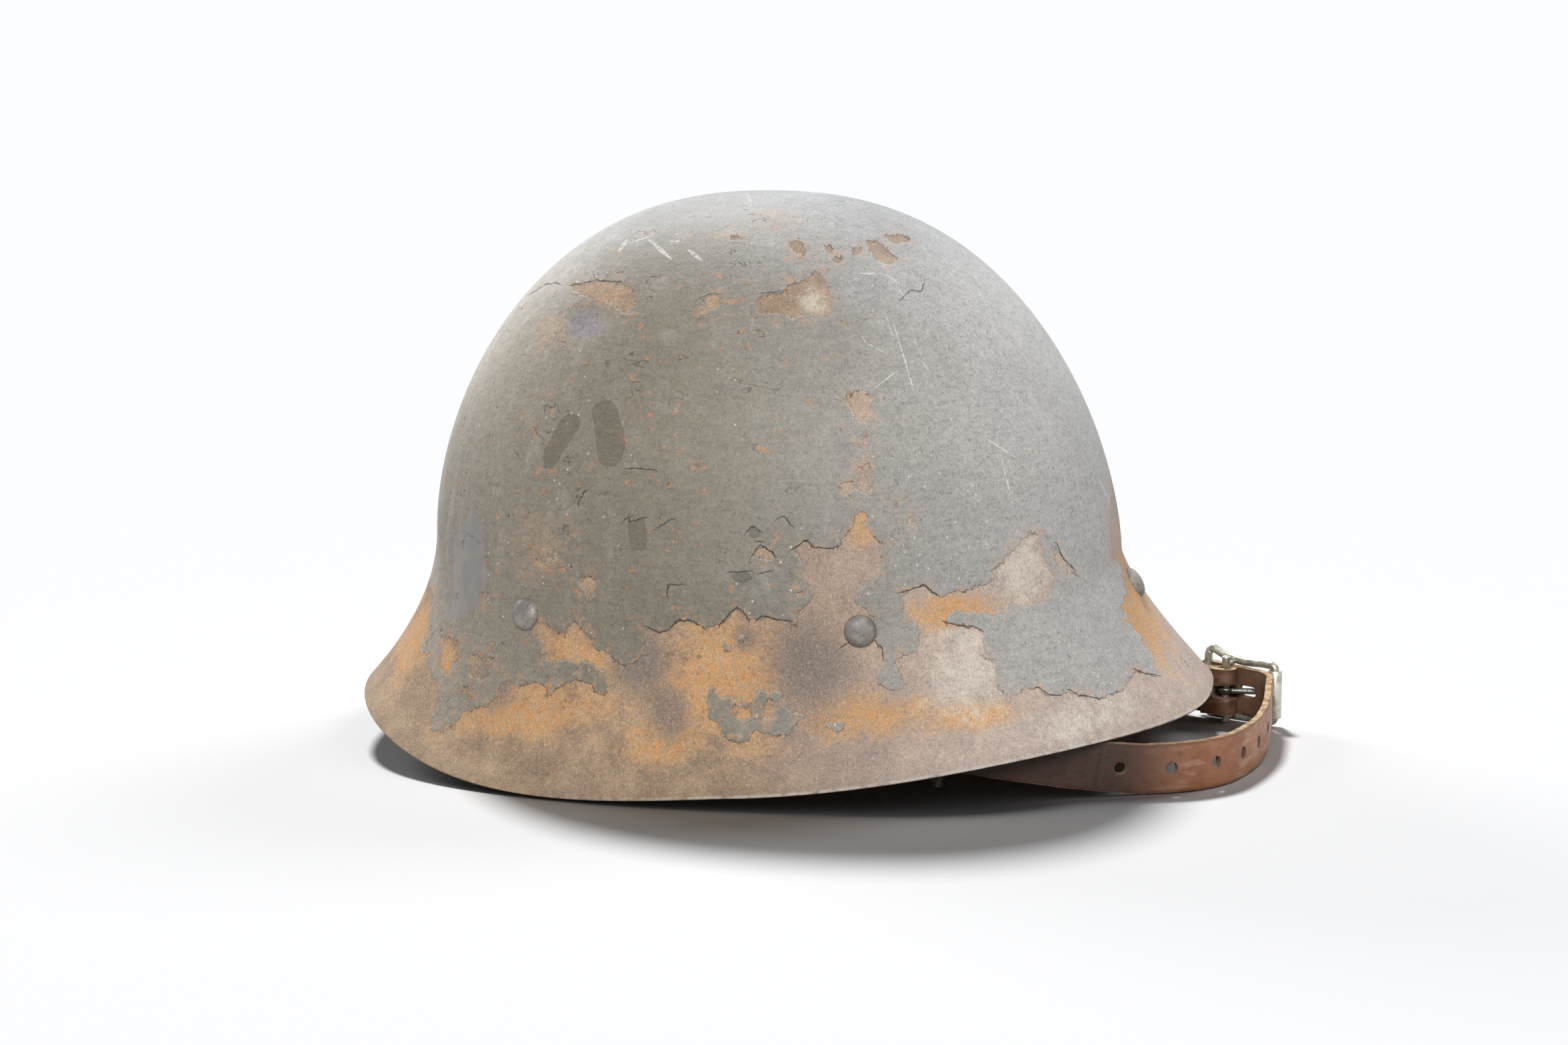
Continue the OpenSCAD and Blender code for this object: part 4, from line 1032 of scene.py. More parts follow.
# the wire hangers get a copy of this finish at a third of its brightness: painted shade, as they sit in the shadow
# under the rim
plain_steel, shaded_hanger_steel = steel_finish("plain_steel"), steel_finish("dark_wire", 0.32)
STEEL = ("burr_", "spacer_", "liner_band", "tab_", "hinge_pin_", "hanger_")
STEEL_NODES = [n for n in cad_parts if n.startswith(STEEL)]
for node_name in STEEL_NODES:
    dress(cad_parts[node_name].data, shaded_hanger_steel if node_name.startswith("hanger_") else plain_steel)
print("steel nodes:", len(STEEL_NODES))

# %% [markdown]
# ## The leather liner
# The sweatband is a strip of goatskin that hangs over the steel band and falls inside it; eight
# tongues rise from it to a small leather ring under the crown. Each follows the inside of the shell
# at a depth, so it is laid with the same rule, then given thickness with a rounded edge, and moved a
# little by noise, because no skin lies perfectly flat. Stitches are tiny capsules that Geometry
# Nodes set along a line.

# %% Leather that follows the shell
HIDE = 1.8
SWEAT_DEPTH = 7.85
TONGUE_DEPTH = SWEAT_DEPTH + HIDE + 0.3


noise.seed_set(7)   # unseeded, noise_vector would differ from run to run


def ripple(points, size, amount):
    """Moves points in mm by a smooth noise."""
    return np.array([np.array(p) + amount * np.array(noise.noise_vector(Vector(p) / size)) for p in points])


def rounded(corners, radius, steps=4):
    """A closed outline in which each corner is a short arc."""
    corners = [np.array(c, float) for c in corners]
    result = []
    for i, corner in enumerate(corners):
        before, after = corners[i - 1] - corner, corners[(i + 1) % len(corners)] - corner
        room = min(radius, np.linalg.norm(before) / 2.01, np.linalg.norm(after) / 2.01)
        start = corner + before / np.linalg.norm(before) * room
        stop = corner + after / np.linalg.norm(after) * room
        for k in np.linspace(0, 1, steps + 1):
            result.append((1 - k) ** 2 * start + 2 * k * (1 - k) * corner + k * k * stop)
    return result


def leather_finish(name, grain_side, flesh, dark, rough=0.62):
    f = Finish(name)
    mid, small = f.noise(14, 4), f.noise(3, 4, 0.6)
    pores, creases = f.cells(0.9), f.cells(2.6, feature="DISTANCE_TO_EDGE")
    worn = f.shade(f.mix(tone(*grain_side), tone(*flesh), 0.3), 0.8)
    colour = f.mix(tone(*grain_side), worn, mid.step(0.36, 0.66))
    colour = f.mix(colour, tone(*dark), (small * 0.5 + mid * 0.5).step(0.5, 0.36) * 0.7)
    colour = f.mix(colour, tone(*dark), creases.step(0.06, 0.0) * 0.4)
    colour = f.mix(colour, tone(*flesh), small.step(0.58, 0.72) * 0.4)
    height = creases.step(0.0, 0.12) * 0.00008 - pores.step(0.3, 0.1) * 0.00004 + (small - 0.5) * 0.0002
    return f.finish(colour, f.mix(grey(rough - 0.1), grey(rough + 0.15), small), height, specular=0.35)


liner_leather = leather_finish("liner_leather", (126, 92, 62), (166, 132, 96), (62, 42, 28))
top = RIVET_HEIGHT + 7.8
inside, outside = SWEAT_DEPTH + HIDE, SWEAT_DEPTH
section = rounded([(outside, 40), (outside, 48), (outside, 56), (outside, top - 0.1), (3.9, top - 0.1),
                   (3.9, top + HIDE), (inside, top + HIDE), (inside, 56), (inside, 48), (inside, 40)], 0.8)
band_turns = np.radians(np.arange(0, 360, 2.0))
band_rows = [under(band_turns, rise_at(band_turns, high), np.full(len(band_turns), deep)) for deep, high in section]
band_mesh = mesh_of("sweatband_leather", ripple(np.concatenate(band_rows), 25, 0.12),
                    skin_faces(len(section), len(band_turns), True))
sweatband = piece("sweatband_leather", band_mesh, liner_leather)
keep(sweatband, "helmet", "liner_leather", "sweatband")


def tongue_points(number, rows=26):
    """A tongue's closed skin: rows run from the sweatband to the tip, columns round its section."""
    middle, low = (number - 0.5) * math.pi / 4, RIVET_HEIGHT - 2
    across_at = rounded([(-1, 0)] + [(u, HIDE) for u in (-1, -0.5, 0, 0.5, 1)]
                        + [(u, 0) for u in (1, 0.5, 0, -0.5)], 0.08, 2)
    start = rise_at(np.array([middle]), low)[0]
    result = []
    for v in np.linspace(0, 1, rows):
        half = math.radians(22.5) * 0.84 * (1 - 0.25 * v ** 3) * (1 - 0.04 * math.exp(-((v - 0.5) * 5) ** 2))
        spread = np.array([p[0] for p in across_at]) * half
        deep = np.array([p[1] for p in across_at]) + TONGUE_DEPTH + (20 - TONGUE_DEPTH) * v ** 1.5
        result.append(under(middle + spread, start + (1.93 - start) * v, deep))
    return np.concatenate(result), rows, len(across_at)


for number in range(1, 9):
    points, rows, columns = tongue_points(number)
    faces = skin_faces(rows, columns) + end_caps(len(points), columns)
    tongue_mesh = mesh_of("tongue", ripple(points, 18, 0.14), faces)
    tongue = piece(f"tongue_leather_{number}", tongue_mesh, liner_leather)
    keep(tongue, "helmet", "liner_leather", f"tongue_{number}")

ring_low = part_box("crown_ring")[0].z / MM
ring_section = rounded([(12, ring_low), (26, ring_low), (26, ring_low + HIDE), (12, ring_low + HIDE)], 0.7)
ring_points, ring_faces = lathe(ring_section, 96, True)
ring_points = ripple(np.array(ring_points) + [CROWN_SHIFT, 0, 0], 12, 0.1)
ring_mesh = mesh_of("crown_ring_leather", ring_points, ring_faces)
crown_ring = piece("crown_ring_leather", ring_mesh, liner_leather)
keep(crown_ring, "helmet", "liner_leather", "crown_ring")


# %% Stitches
def stitch_tree():
    """A short thread capsule on every point of a line, laid along it."""
    tree, given, end = new_tree("stitches", [("Geometry", "Geometry", None), ("Pitch", "Float", 3.2),
                                             ("Thread", "Float", 0.35), ("Material", "Material", None)])
    line = add(tree, "GeometryNodeMeshToCurve", Mesh=given["Geometry"])
    spots = add(tree, "GeometryNodeResampleCurve", {"mode": "LENGTH"}, Curve=line, Length=given["Pitch"] * MM)
    spots = add(tree, "GeometryNodeStoreNamedAttribute", {"data_type": "FLOAT_VECTOR", "domain": "POINT"},
                Geometry=spots, Name="way", Value=add(tree, "GeometryNodeInputTangent"))
    seats = add(tree, "GeometryNodeCurveToPoints", {"mode": "EVALUATED"}, "Points", Curve=spots)
    bead = add(tree, "GeometryNodeMeshUVSphere", Segments=8, Rings=6, Radius=1.0)
    thick = given["Thread"] * MM
    size = combine(tree, thick, thick, given["Pitch"] * MM * 0.34)
    turned = along_stored(tree, "way")
    made = add(tree, "GeometryNodeInstanceOnPoints", Points=seats, Instance=bead, Rotation=turned, Scale=size)
    finish_tree(tree, end, made, given["Material"])
    return tree


def thread_finish():
    f = Finish("linen_thread")
    small = f.noise(0.8, 3)
    colour = f.mix(tone(150, 132, 104), tone(98, 82, 62), small.step(0.35, 0.65))
    return f.finish(colour, 0.85, (small - 0.5) * 0.0001)


def stitch_line(name, points, body, pitch=3.2):
    """Stitches along a closed line of points in mm."""
    count = len(points)
    line = bpy.data.meshes.new(name)
    line.from_pydata((np.asarray(points) * MM).tolist(), [(i, (i + 1) % count) for i in range(count)], [])
    made = grow(name, stitches, line, Material=linen_thread, Pitch=pitch)
    made.data.shade_smooth()
    return keep(made, body, "liner_leather")


stitches, linen_thread = stitch_tree(), thread_finish()
ring_turns = np.radians(np.arange(0, 360, 4.0))
for radius in (15.0, 23.0):
    ring = [(CROWN_SHIFT + radius * math.cos(a), radius * math.sin(a), ring_low + 0.05) for a in ring_turns]
    stitch_line(f"ring_stitches_{radius:.0f}", ring, "helmet")
hem = under(band_turns, rise_at(band_turns, 44.0), np.full(len(band_turns), SWEAT_DEPTH + HIDE + 0.02))
stitch_line("sweatband_stitches", hem, "helmet", pitch=4.0)

# %% [markdown]
# ## The chin strap
# Two strips of harness leather, 2.2 mm thick, stand on edge: a long one with ten punched holes, and
# a short one that holds the buckle. Leather is cut flat, punched flat, and only then bent, so the
# script does the same. An outline with its holes is filled with triangles, doubled to the
# leather's thickness with a softened edge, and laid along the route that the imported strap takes:
# stretches that each have a length and a turn, as one would walk them, with a fold round a bar
# at the end. Each vertex keeps its place in the flat strip, so grain, creases and the raw tan edge
# follow the leather round every bend.

# %% The route of the long strap, in mm
STRAP, THICK, FOLD_GAP = 16.6, 2.2, 0.25
BUCKLE = np.array([169.0, 34.0])
BUCKLE_TURN = 152.6
BUCKLE_MID = 11.4
PIN_AT, PIN_V = 17.0, 4.5
HINGE_X, HINGE_Z, HANGER_Y, HANGER_LEN = 39.5929, 22.6, 92.5095, 27.0
TAIL = 30.0
LOOP_RUNS = ((TAIL, 0), (12.5, -47.6), (24.9, 0), (50.3, -20), (35.2, -53))


def heading(degrees):
    return np.array([math.cos(math.radians(degrees)), math.sin(math.radians(degrees))])


def left_of(degrees):
    return heading(degrees + 90)


def on_buckle(u, v):
    return BUCKLE + u * heading(BUCKLE_TURN) + v * left_of(BUCKLE_TURN)


def walk(runs, far, place, turn):
    """The place and heading after walking a distance along stretches of (length, turn)."""
    for length, bend in runs:
        part = min(far, length)
        if part > 0:
            angle = bend * part / length
            if abs(angle) < 0.01:
                place = place + part * heading(turn)
            else:
                radius = part * 180 / (math.pi * angle)
                place = place + radius * (left_of(turn) - left_of(turn + angle))
            turn += angle
        far -= length
    return place, turn


def ease(k):
    k = min(max(k, 0), 1)
    return k * k * (3 - 2 * k)


def bar_at(side, pitch):
    """The middle of a hanger's bar; the hanger slopes down by a pitch in degrees."""
    angle = math.radians(pitch)
    return HINGE_X + HANGER_LEN * math.cos(angle), side * HANGER_Y, HINGE_Z - HANGER_LEN * math.sin(angle)


# radius of the leather's middle round a hanger's bar and round the pin
R_FOLD, PIN_RADIUS = 1.5 + FOLD_GAP + THICK / 2, 1.4 + FOLD_GAP + THICK / 2
RIGHT_PITCH, LEFT_PITCH = 8, 6
RIGHT_BAR, LEFT_BAR = bar_at(-1, RIGHT_PITCH), bar_at(1, LEFT_PITCH)
tail_end = on_buckle(6.5, 1.5) + TAIL * heading(BUCKLE_TURN - 15)
LOOP = sum(length for length, _ in LOOP_RUNS)
loop_end, _ = walk(LOOP_RUNS, LOOP, tail_end, BUCKLE_TURN + 165)
way = loop_end - RIGHT_BAR[:2]
near_turn = math.degrees(math.atan2(way[1], way[0]) + math.asin(R_FOLD / np.linalg.norm(way)))
long_goal = np.array(RIGHT_BAR[:2]) - R_FOLD * left_of(near_turn)
LONG = LOOP + np.linalg.norm(long_goal - loop_end)


def long_height(s):
    if s < 157:
        return BUCKLE_MID + (STRAP / 2 - BUCKLE_MID) * ease((s - 50) / 50)
    return STRAP / 2 + (RIGHT_BAR[2] - STRAP / 2) * ((s - 157) / (LONG - 157)) ** 1.3


def long_plan(s):
    if s < LOOP:
        return walk(LOOP_RUNS, s, tail_end, BUCKLE_TURN + 165)
    share = (s - LOOP) / (LONG - LOOP)
    return loop_end + (long_goal - loop_end) * share, near_turn + 180


short_start, short_knee = [on_buckle(PIN_AT + u, PIN_V - PIN_RADIUS) for u in (0, 6)]
way = np.array(LEFT_BAR[:2]) - short_knee
short_turn = math.degrees(math.atan2(way[1], way[0]) - math.asin(R_FOLD / np.linalg.norm(way)))
short_goal = np.array(LEFT_BAR[:2]) - R_FOLD * left_of(short_turn)
SHORT = 6 + np.linalg.norm(short_goal - short_knee)
DIP = 0.12
dip_end_slope = (LEFT_BAR[2] - BUCKLE_MID + DIP * 15) / (SHORT - 15)


def short_height(s):
    if s < 30:
        return BUCKLE_MID - DIP * s + (dip_end_slope + DIP) * s * s / 60
    return BUCKLE_MID + (dip_end_slope - DIP) * 15 + dip_end_slope * (s - 30)


def short_plan(s):
    if s < 6:
        return short_start + s * heading(BUCKLE_TURN), BUCKLE_TURN
    share = (s - 6) / (SHORT - 6)
    return short_knee + (short_goal - short_knee) * share, short_turn


print("long strap", round(LONG, 1), "mm to its bar, short strap", round(SHORT, 1), "mm")


# %% Bending
def on_strand(plan, height, s, across, off, last):
    """A point of the strand: off is square to the leather, to the left of its heading."""
    place, turn = plan(s)
    a, b = max(s - 1, 0), min(s + 1, last)
    slope = math.atan2(height(b) - height(a), b - a)
    c, k = math.cos(math.radians(turn)), math.sin(math.radians(turn))
    return np.array([place[0] - k * off - c * math.sin(slope) * across,
                     place[1] + c * off - k * math.sin(slope) * across, height(s) + across * math.cos(slope)])


def on_fold(bar, radius, pitch, turn, sway, mirrored, past, across):
    """A point round a bar: past counts from where the strip meets it, turn is the way out."""
    arc = math.pi * radius
    angle = min(max(past, 0), arc) / radius
    x = -sway * math.sin(angle) + (max(past - arc, 0) - min(past, 0))
    y = -sway * math.cos(angle)
    beside = left_of(turn) * (-1 if mirrored else 1)
    spot = x * heading(turn) + y * beside
    c, s = math.cos(math.radians(pitch)), math.sin(math.radians(pitch))
    return np.array(bar) + [spot[0] * c + across * s, spot[1], across * c - spot[0] * s]


def lay_long(s, across, off):
    strand = on_strand(long_plan, long_height, min(s, LONG), across, off, LONG)
    share = ease((s - LONG + 9) / 7)
    if share == 0:
        return strand
    fold = on_fold(RIGHT_BAR, R_FOLD, RIGHT_PITCH, near_turn, R_FOLD + off, False, s - LONG, across)
    return strand * (1 - share) + fold * share


PIN_SPOT = (*on_buckle(PIN_AT, PIN_V), BUCKLE_MID)


def lay_short(s, across, off):
    strand = on_strand(short_plan, short_height, min(max(s, 0), SHORT), across, off, SHORT)
    if s < SHORT / 2:
        fold = on_fold(PIN_SPOT, PIN_RADIUS, 0, BUCKLE_TURN, PIN_RADIUS - off, False, -s, across)
        share = ease((4 - s) / 3)
    else:
        fold = on_fold(LEFT_BAR, R_FOLD, LEFT_PITCH, short_turn + 180, R_FOLD - off, True, s - SHORT, across)
        share = ease((s - SHORT + 9) / 7)
    return strand * (1 - share) + fold * share


# %% Cutting
def round_hole(s, across, radius, stretch=0.0, steps=20):
    """A punched hole, or a slot if it is stretched along the strap."""
    turns = np.arange(steps) * 2 * math.pi / steps
    return [(s + math.copysign(stretch / 2, math.cos(t)) + radius * math.cos(t), across + radius * math.sin(t))
            for t in turns]


def cut_leather(name, start, stop, holes, lay, grain_side=1, tip=0.0, step=1.25):
    """A strip from start to stop with holes, filled, made thick, and laid on its route."""
    half = STRAP / 2 - 0.02
    across_at = np.linspace(-half, half, 15)
    long_side = [s for s in np.arange(start, stop, step)[1:] if s > start + tip + 0.3]
    edge = [(s, -half) for s in long_side[::-1]]
    edge += [(start + tip * (abs(a) / half) ** 3, a) for a in across_at]
    edge += [(s, half) for s in long_side]
    edge += [(stop, a) for a in across_at[::-1]]
    loops = [edge] + holes
    flat, links = [], []
    for loop in loops:
        first = len(flat)
        flat += [Vector(p) for p in loop]
        links += [(first + i, first + (i + 1) % len(loop)) for i in range(len(loop))]
    rim = np.array([tuple(p) for p in flat])
    inner = np.array([(s, a) for s in np.arange(start + 1, stop, step)
                      for a in np.arange(-half + 0.95, half - 0.5, 1.22)])
    gaps = np.array([np.hypot(*(rim - p).T).min() for p in inner])
    inner = inner[gaps > 0.75]
    keepers = np.ones(len(inner), bool)
    for hole in holes:
        keepers &= ~within(inner, np.array(hole))
    flat += [Vector(p) for p in inner[keepers]]
    spots, _, triangles, *_ = delaunay_2d_cdt(flat, links, [], 0, 1e-6)
    spots = np.array([tuple(p) for p in spots])
    middles = np.array([spots[list(t)].mean(0) for t in triangles])
    inside_all = within(middles, np.array(edge))
    for hole in holes:
        inside_all &= ~within(middles, np.array(hole))
    triangles = [t for t, ok in zip(triangles, inside_all) if ok]
    # thickness: both faces, and a rounded wall along every free edge
    sides = {}
    for t in triangles:
        for i in range(3):
            sides[(t[i], t[(i + 1) % 3])] = True
    free = [(a, b) for a, b in sides if (b, a) not in sides]
    outward = np.zeros((len(spots), 2))
    for a, b in free:
        way = spots[b] - spots[a]
        square = np.array([way[1], -way[0]]) / np.linalg.norm(way)
        outward[a] += square
        outward[b] += square
    size = np.linalg.norm(outward, axis=1, keepdims=True)
    outward = np.where(size > 1e-6, outward / np.maximum(size, 1e-6), 0)
    soft = 0.35
    levels = [(soft * (1 - math.sin(a)), THICK / 2 - soft + soft * math.cos(a))
              for a in np.linspace(0, math.pi / 2, 4)]
    levels += [(0.0, 0.0)] + [(inset, -height) for inset, height in levels[::-1]]
    count, points, marks = len(spots), [], []
    for level, (inset, height) in enumerate(levels):
        moved = spots - outward * inset
        points += [(s, a, height) for s, a in moved]
        marks += [1.0 if 0 < level < len(levels) - 1 else 0.0] * count
    faces = [tuple(t) for t in triangles]
    last = (len(levels) - 1) * count
    faces += [tuple(last + i for i in t[::-1]) for t in triangles]
    for level in range(len(levels) - 1):
        low = level * count
        faces += [(low + b, low + a, low + count + a, low + count + b) for a, b in free]
    used = sorted({i for face in faces for i in face})
    renumber = {old: new for new, old in enumerate(used)}
    faces = [tuple(renumber[i] for i in face) for face in faces]
    chosen = np.array(points)[used]
    laid = []
    for s, a, h in chosen:
        bump = 0.18 * noise.noise(Vector((s / 9, a / 9, 3.0))) * (0.4 if abs(h) > 1 else 1)
        laid.append(lay(s, a + 0.12 * noise.noise(Vector((s / 6, 9.0, 0))), h + bump))
    mesh = bpy.data.meshes.new(name)
    mesh.from_pydata((np.array(laid) * MM).tolist(), [], faces)
    flat_layer = mesh.attributes.new("flat", "FLOAT_VECTOR", "POINT")
    flat_layer.data.foreach_set("vector", (chosen * [1, 1, grain_side]).ravel())
    edge_layer = mesh.attributes.new("cut", "FLOAT", "POINT")
    edge_layer.data.foreach_set("value", np.array(marks)[used])
    tidy = bmesh.new()
    tidy.from_mesh(mesh)
    if tidy.calc_volume(signed=True) < 0:
        bmesh.ops.reverse_faces(tidy, faces=tidy.faces)
    tidy.to_mesh(mesh)
    tidy.free()
    mesh.shade_smooth()
    return mesh


# %% The straps' leather
def strap_finish(name, bright=1.0):
    f = Finish(name)
    flat, cut = f.field("flat", "Vector"), f.field("cut")
    along, over, through = f.parts(flat)
    at = flat.vector("SCALE", MM)
    mid, small, grain = f.noise(18, 4, at=at), f.noise(4, 4, 0.6, at), f.noise(0.6, 3, 0.7, at)
    rubs = f.noise(5, 4, 0.6, at.vector("MULTIPLY", (0.3, 1.2, 1)))
    pores = f.cells(0.8, at=at)
    colour = f.mix(tone(124, 78, 52), tone(148, 102, 74), mid.step(0.38, 0.64))
    # pale rubs along the strip, and more of them in its first 110 mm, near the buckle, as painted sheen
    colour = f.mix(colour, tone(178, 142, 118), (rubs + along.step(150, 110) * 0.1).step(0.56, 0.72) * 0.5)
    colour = f.mix(colour, tone(98, 60, 42), small.step(0.46, 0.3) * 0.5)
    colour = f.shade(colour, (grain - 0.5) * 0.6 + (small - 0.5) * 0.3 + 1)
    colour = f.mix(colour, tone(82, 50, 36), (abs(over) + (small - 0.5) * 1.6).step(6.6, 8.2) * 0.6)
    bend = (abs(along - 172.5) * -1 + (small - 0.5) * 3).step(-1.5, -0.1)
    colour = f.mix(colour, tone(66, 42, 33), bend * 0.5)
    # painted shadow: the strip darkens to near black from about 130 to 170 mm along it, where the long strap runs
    # under the helmet's rim; painted light: up to a quarter lighter within about 110 mm, near the buckle
    colour = f.mix(colour, tone(36, 22, 16), (along + (mid - 0.5) * 12).step(132, 168) * 0.92)
    colour = f.shade(colour, along.step(140, 108, 1.0, 1.25))
    colour = f.shade(colour, bright)
    # the flesh side is rougher and darker
    flesh = f.mix(tone(62, 44, 33), tone(84, 62, 45), (small * 0.5 + grain * 0.5).step(0.4, 0.6))
    colour = f.mix(colour, flesh, through.step(-0.2, -0.6) * 0.85)
    raw = f.mix(tone(142, 114, 82), tone(192, 166, 130), small.step(0.38, 0.62))
    raw = f.mix(raw, tone(84, 56, 38), (grain * 0.5 + small * 0.5).step(0.48, 0.36) * 0.8)
    # painted shade on the raw edge: darker where the cut crosses the middle of the strip, in the holes and at the
    # ends, and darker towards the helmet
    raw = f.mix(raw, tone(66, 44, 32), abs(over).step(7.0, 5.0) * 0.8)
    raw = f.mix(raw, tone(104, 76, 56), along.step(112, 140) * 0.7)
    colour = f.mix(colour, raw, cut.step(0.35, 0.75))
    fuzzy = cut.math("MAXIMUM", through.step(-0.2, -0.6) * 0.5)
    height = (pores.step(0.4, 0.1) * -0.00003 + (small - 0.5) * 0.00018 + (grain - 0.5) * 0.00005
              - bend * 0.00018 + fuzzy * (grain - 0.5) * 0.0004)
    rough = f.mix(grey(0.44), grey(0.62), small.step(0.35, 0.65))
    rough = f.mix(rough, grey(0.92), fuzzy)
    return f.finish(colour, rough, height, specular=0.4)


# the short strap gets a copy of the finish at three tenths of its brightness: painted shade
strap_leather, shaded_strap_leather = strap_finish("strap_leather"), strap_finish("strap_leather_dark", 0.3)
FIRST_HOLE, HOLE_STEP, HOLE = 9.1, 17.4, 1.9
STUD_HOLE, STUD_AT = 1.35, 11
FOLD_ARC, PIN_ARC = math.pi * R_FOLD, math.pi * PIN_RADIUS


def stud_hole(s):
    return round_hole(s, 0, STUD_HOLE, steps=12)


fold_tail = FOLD_ARC + 18
long_holes = [round_hole(FIRST_HOLE + i * HOLE_STEP, 0, HOLE, 4.6 if i == 1 else 0) for i in range(10)]
long_holes += [stud_hole(LONG - STUD_AT), stud_hole(LONG + FOLD_ARC + STUD_AT)]
long_mesh = cut_leather("strap_long_leather", 0.0, LONG + fold_tail, long_holes, lay_long, 1, 5.5)
strap_long = piece("strap_long_leather", long_mesh, strap_leather)
keep(strap_long, "chin_strap", "strap_leather", "strap_long")

pin_tail = PIN_ARC + 8
eye_slot = [(-PIN_ARC - 3.2, -1.75), (3.2, -1.75), (3.2, 1.75), (-PIN_ARC - 3.2, 1.75)]
eye_slot = [tuple(p) for p in rounded(eye_slot, 0.8)]
short_holes = [eye_slot] + [stud_hole(s) for s in (5.2, -PIN_ARC - 5.2, SHORT - STUD_AT, SHORT + FOLD_ARC + STUD_AT)]
strap_short = piece("strap_short_leather", cut_leather(
    "strap_short_leather", -pin_tail, SHORT + fold_tail, short_holes, lay_short, -1), shaded_strap_leather)
keep(strap_short, "chin_strap", "strap_leather", "strap_short")

# %% [markdown]
# ## The buckle
# A nickel-plated steel buckle: one wire bent into a frame, a pin across its middle with a peened end, a
# roller rolled from thin sheet with an open seam, and a prong with an eye round the pin. Wire is
# a circle carried along a path, so each path is bent with round corners first.

# %% Bent wire
def sweep(path, radius, closed=False, sides=14, squash=1.0):
    """Points and faces of a tube along a path; radius may be one number or one for each point."""
    path = np.array(path, float)
    ways = np.gradient(path, axis=0) if not closed else np.roll(path, -1, 0) - np.roll(path, 1, 0)
    ways /= np.linalg.norm(ways, axis=1, keepdims=True)
    radius = np.broadcast_to(radius, len(path))
    normal = np.cross(ways[0], [0.3, 0.2, 0.9])
    rows = []
    for point, way, r in zip(path, ways, radius):
        normal = normal - way * (normal @ way)
        normal /= np.linalg.norm(normal)
        other = np.cross(way, normal)
        rows += [point + r * (math.cos(a) * normal + math.sin(a) * other * squash)
                 for a in np.arange(sides) * 2 * math.pi / sides]
    faces = skin_faces(len(path), sides, closed)
    if not closed:
        faces += end_caps(len(rows), sides)
    return rows, faces


def dense(path, step=0.8, closed=False):
    """The same line with a point every step mm."""
    path = [np.array(p, float) for p in path]
    if closed:
        path.append(path[0])
    result = []
    for a, b in zip(path, path[1:]):
        count = max(1, int(np.linalg.norm(b - a) / step))
        result += [a + (b - a) * k / count for k in range(count)]
    return result if closed else result + [path[-1]]


def together(*parts):
    """Several point and face lists as one."""
    points, faces = [], []
    for some, sides in parts:
        faces += [tuple(i + len(points) for i in side) for side in sides]
        points += [tuple(p) for p in some]
    return points, faces


def on_frame(u, z, v):
    return (*on_buckle(u, v), z)


def nickel_finish(name, worn=1.0, bright=1.0):
    f = Finish(name)
    mid, small, grain = f.noise(5, 3), f.noise(1.5, 4, 0.65), f.noise(0.4, 2)
    colour = f.mix(tone(158, 154, 142), tone(186, 184, 174), mid.step(0.4, 0.6))
    colour = f.mix(colour, tone(112, 94, 70), (small * 0.6 + mid * 0.4).step(0.54, 0.66) * (0.8 * worn))
    colour = f.shade(f.mix(colour, tone(78, 68, 56), small.step(0.4, 0.28) * (0.6 * worn)), bright)
    height = ((small - 0.5) * 0.00003 + (grain - 0.5) * 0.00001) * worn
    dull = (small * 0.6 + mid * 0.4).step(0.45, 0.62)
    return f.finish(colour, f.mix(grey(0.3), grey(0.6), dull), height, 0.8)


buckle_nickel, roller_nickel = nickel_finish("buckle_nickel"), nickel_finish("roller_nickel", 0.3, 1.15)
prong_nickel = nickel_finish("prong_nickel", 1.0, 0.3)
LOW_RAIL, HIGH_RAIL, WIRE = 1.6, 21.3, 1.42


def frame_path():
    """Down the roller's bar, along the low rail, up the far bar and back over the pin."""
    corners = ((0, HIGH_RAIL, 0), (0, LOW_RAIL, 0), (27, LOW_RAIL, -1.2), (27.3, 22.8, -1.2),
               (26, 25.2, -1.1), (20, 22.6, -0.8), (13, HIGH_RAIL, -0.6), (4, HIGH_RAIL + 0.3, -0.2))
    return dense(rounded([on_frame(*corner) for corner in corners], 1.6, 5), 0.9, True)


wire_points, wire_faces = sweep(frame_path(), WIRE, True, 16)
lugs = [sweep([(*on_buckle(PIN_AT, v), height) for v in np.linspace(-0.6, PIN_V - 0.6, 7)], 1.0, False, 14)
        for height in (LOW_RAIL, HIGH_RAIL - 0.4)]
frame_mesh = mesh_of("buckle_wire_frame", *together((wire_points, wire_faces), *lugs))
buckle_frame = piece("buckle_wire_frame", frame_mesh, buckle_nickel)
keep(buckle_frame, "chin_strap", "buckle_nickel", "buckle_frame")

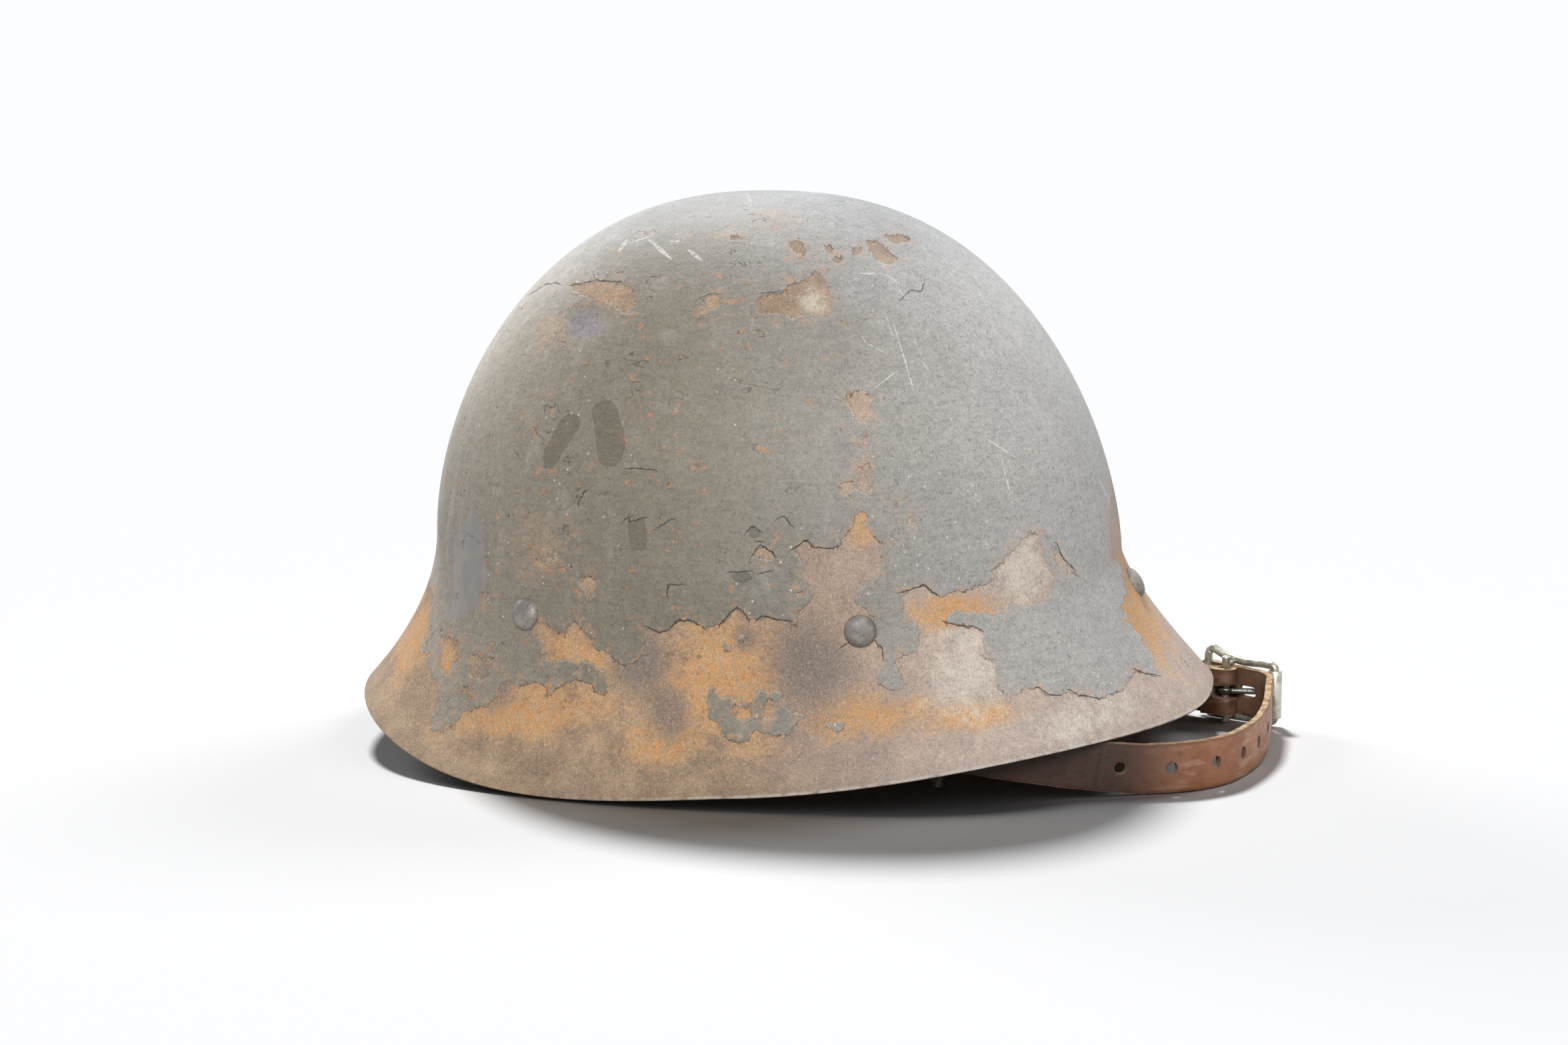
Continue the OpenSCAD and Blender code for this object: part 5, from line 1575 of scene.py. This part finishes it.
pin_spot = on_buckle(PIN_AT, PIN_V)
pin_profile = [(0.01, 0.12), (1.0, 0.14), (1.34, 0.5), (1.38, 1.2), (1.38, 22.6),
               (1.5, 22.9), (1.55, 23.3), (1.3, 23.7), (0.7, 23.86), (0.01, 23.9)]
pin_points, pin_faces = lathe(pin_profile, 28)
pin_mesh = mesh_of("buckle_pin_peened", ripple(np.array(pin_points) + [*pin_spot, 0], 2, 0.04), pin_faces)
buckle_pin = piece("buckle_pin_peened", pin_mesh, buckle_nickel)
keep(buckle_pin, "chin_strap", "buckle_nickel", "buckle_pin")

# %% The roller and the prong
HALF_HIGH, ROLLER_R, WALL, SEAM = 8.38, 2.4, 0.75, 12
roller_section = ((ROLLER_R - 0.12, -HALF_HIGH), (ROLLER_R, -HALF_HIGH + 0.15), (ROLLER_R, HALF_HIGH - 0.15),
                  (ROLLER_R - 0.12, HALF_HIGH), (ROLLER_R - WALL, HALF_HIGH), (ROLLER_R - WALL, -HALF_HIGH))
roller_turns = np.radians(np.linspace(206, 206 + 360 - SEAM, 44))
roller_rows = [(BUCKLE[0] + r * math.cos(turn), BUCKLE[1] + r * math.sin(turn), BUCKLE_MID + z)
               for turn in roller_turns for r, z in roller_section]
roller_faces = skin_faces(len(roller_turns), len(roller_section)) + end_caps(len(roller_rows), len(roller_section))
roller_mesh = mesh_of("buckle_roller_sheet", roller_rows, roller_faces)
roller = piece("buckle_roller_sheet", roller_mesh, roller_nickel)
keep(roller, "roller", "buckle_nickel", "buckle_roller")

PRONG_TURN, PRONG, PRONG_START = BUCKLE_TURN + 180 + 27.1, 17.6, 1.5


def off_pin(far, turn=0):
    """A point at the buckle's mid height, some mm from the pin's middle."""
    return (*(pin_spot + far * heading(PRONG_TURN + turn)), BUCKLE_MID)


shares = np.linspace(0, 1, 22)
eye_path = [off_pin(2.05, a) for a in range(-20, 330, 14)]
shaft = [off_pin(PRONG_START + k * (PRONG - PRONG_START)) for k in shares]
taper = [1.08 if k < 0.75 else 1.08 - 0.12 * ((k - 0.75) / 0.25) for k in shares]
tip = [off_pin(PRONG + d) for d in (0.35, 0.7, 0.95)]
prong_mesh = mesh_of("buckle_prong_wire", *together(sweep(eye_path, 0.62, False, 10, 2.2),
                                                   sweep(shaft + tip, taper + [0.85, 0.6, 0.2], False, 16)))
prong = piece("buckle_prong_wire", prong_mesh, prong_nickel)
keep(prong, "prong", "buckle_nickel", "buckle_prong")

# %% Studs that close the folds
for node_name in ("stud_left", "stud_right", "stud_buckle"):
    dress(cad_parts[node_name].data, buckle_nickel)
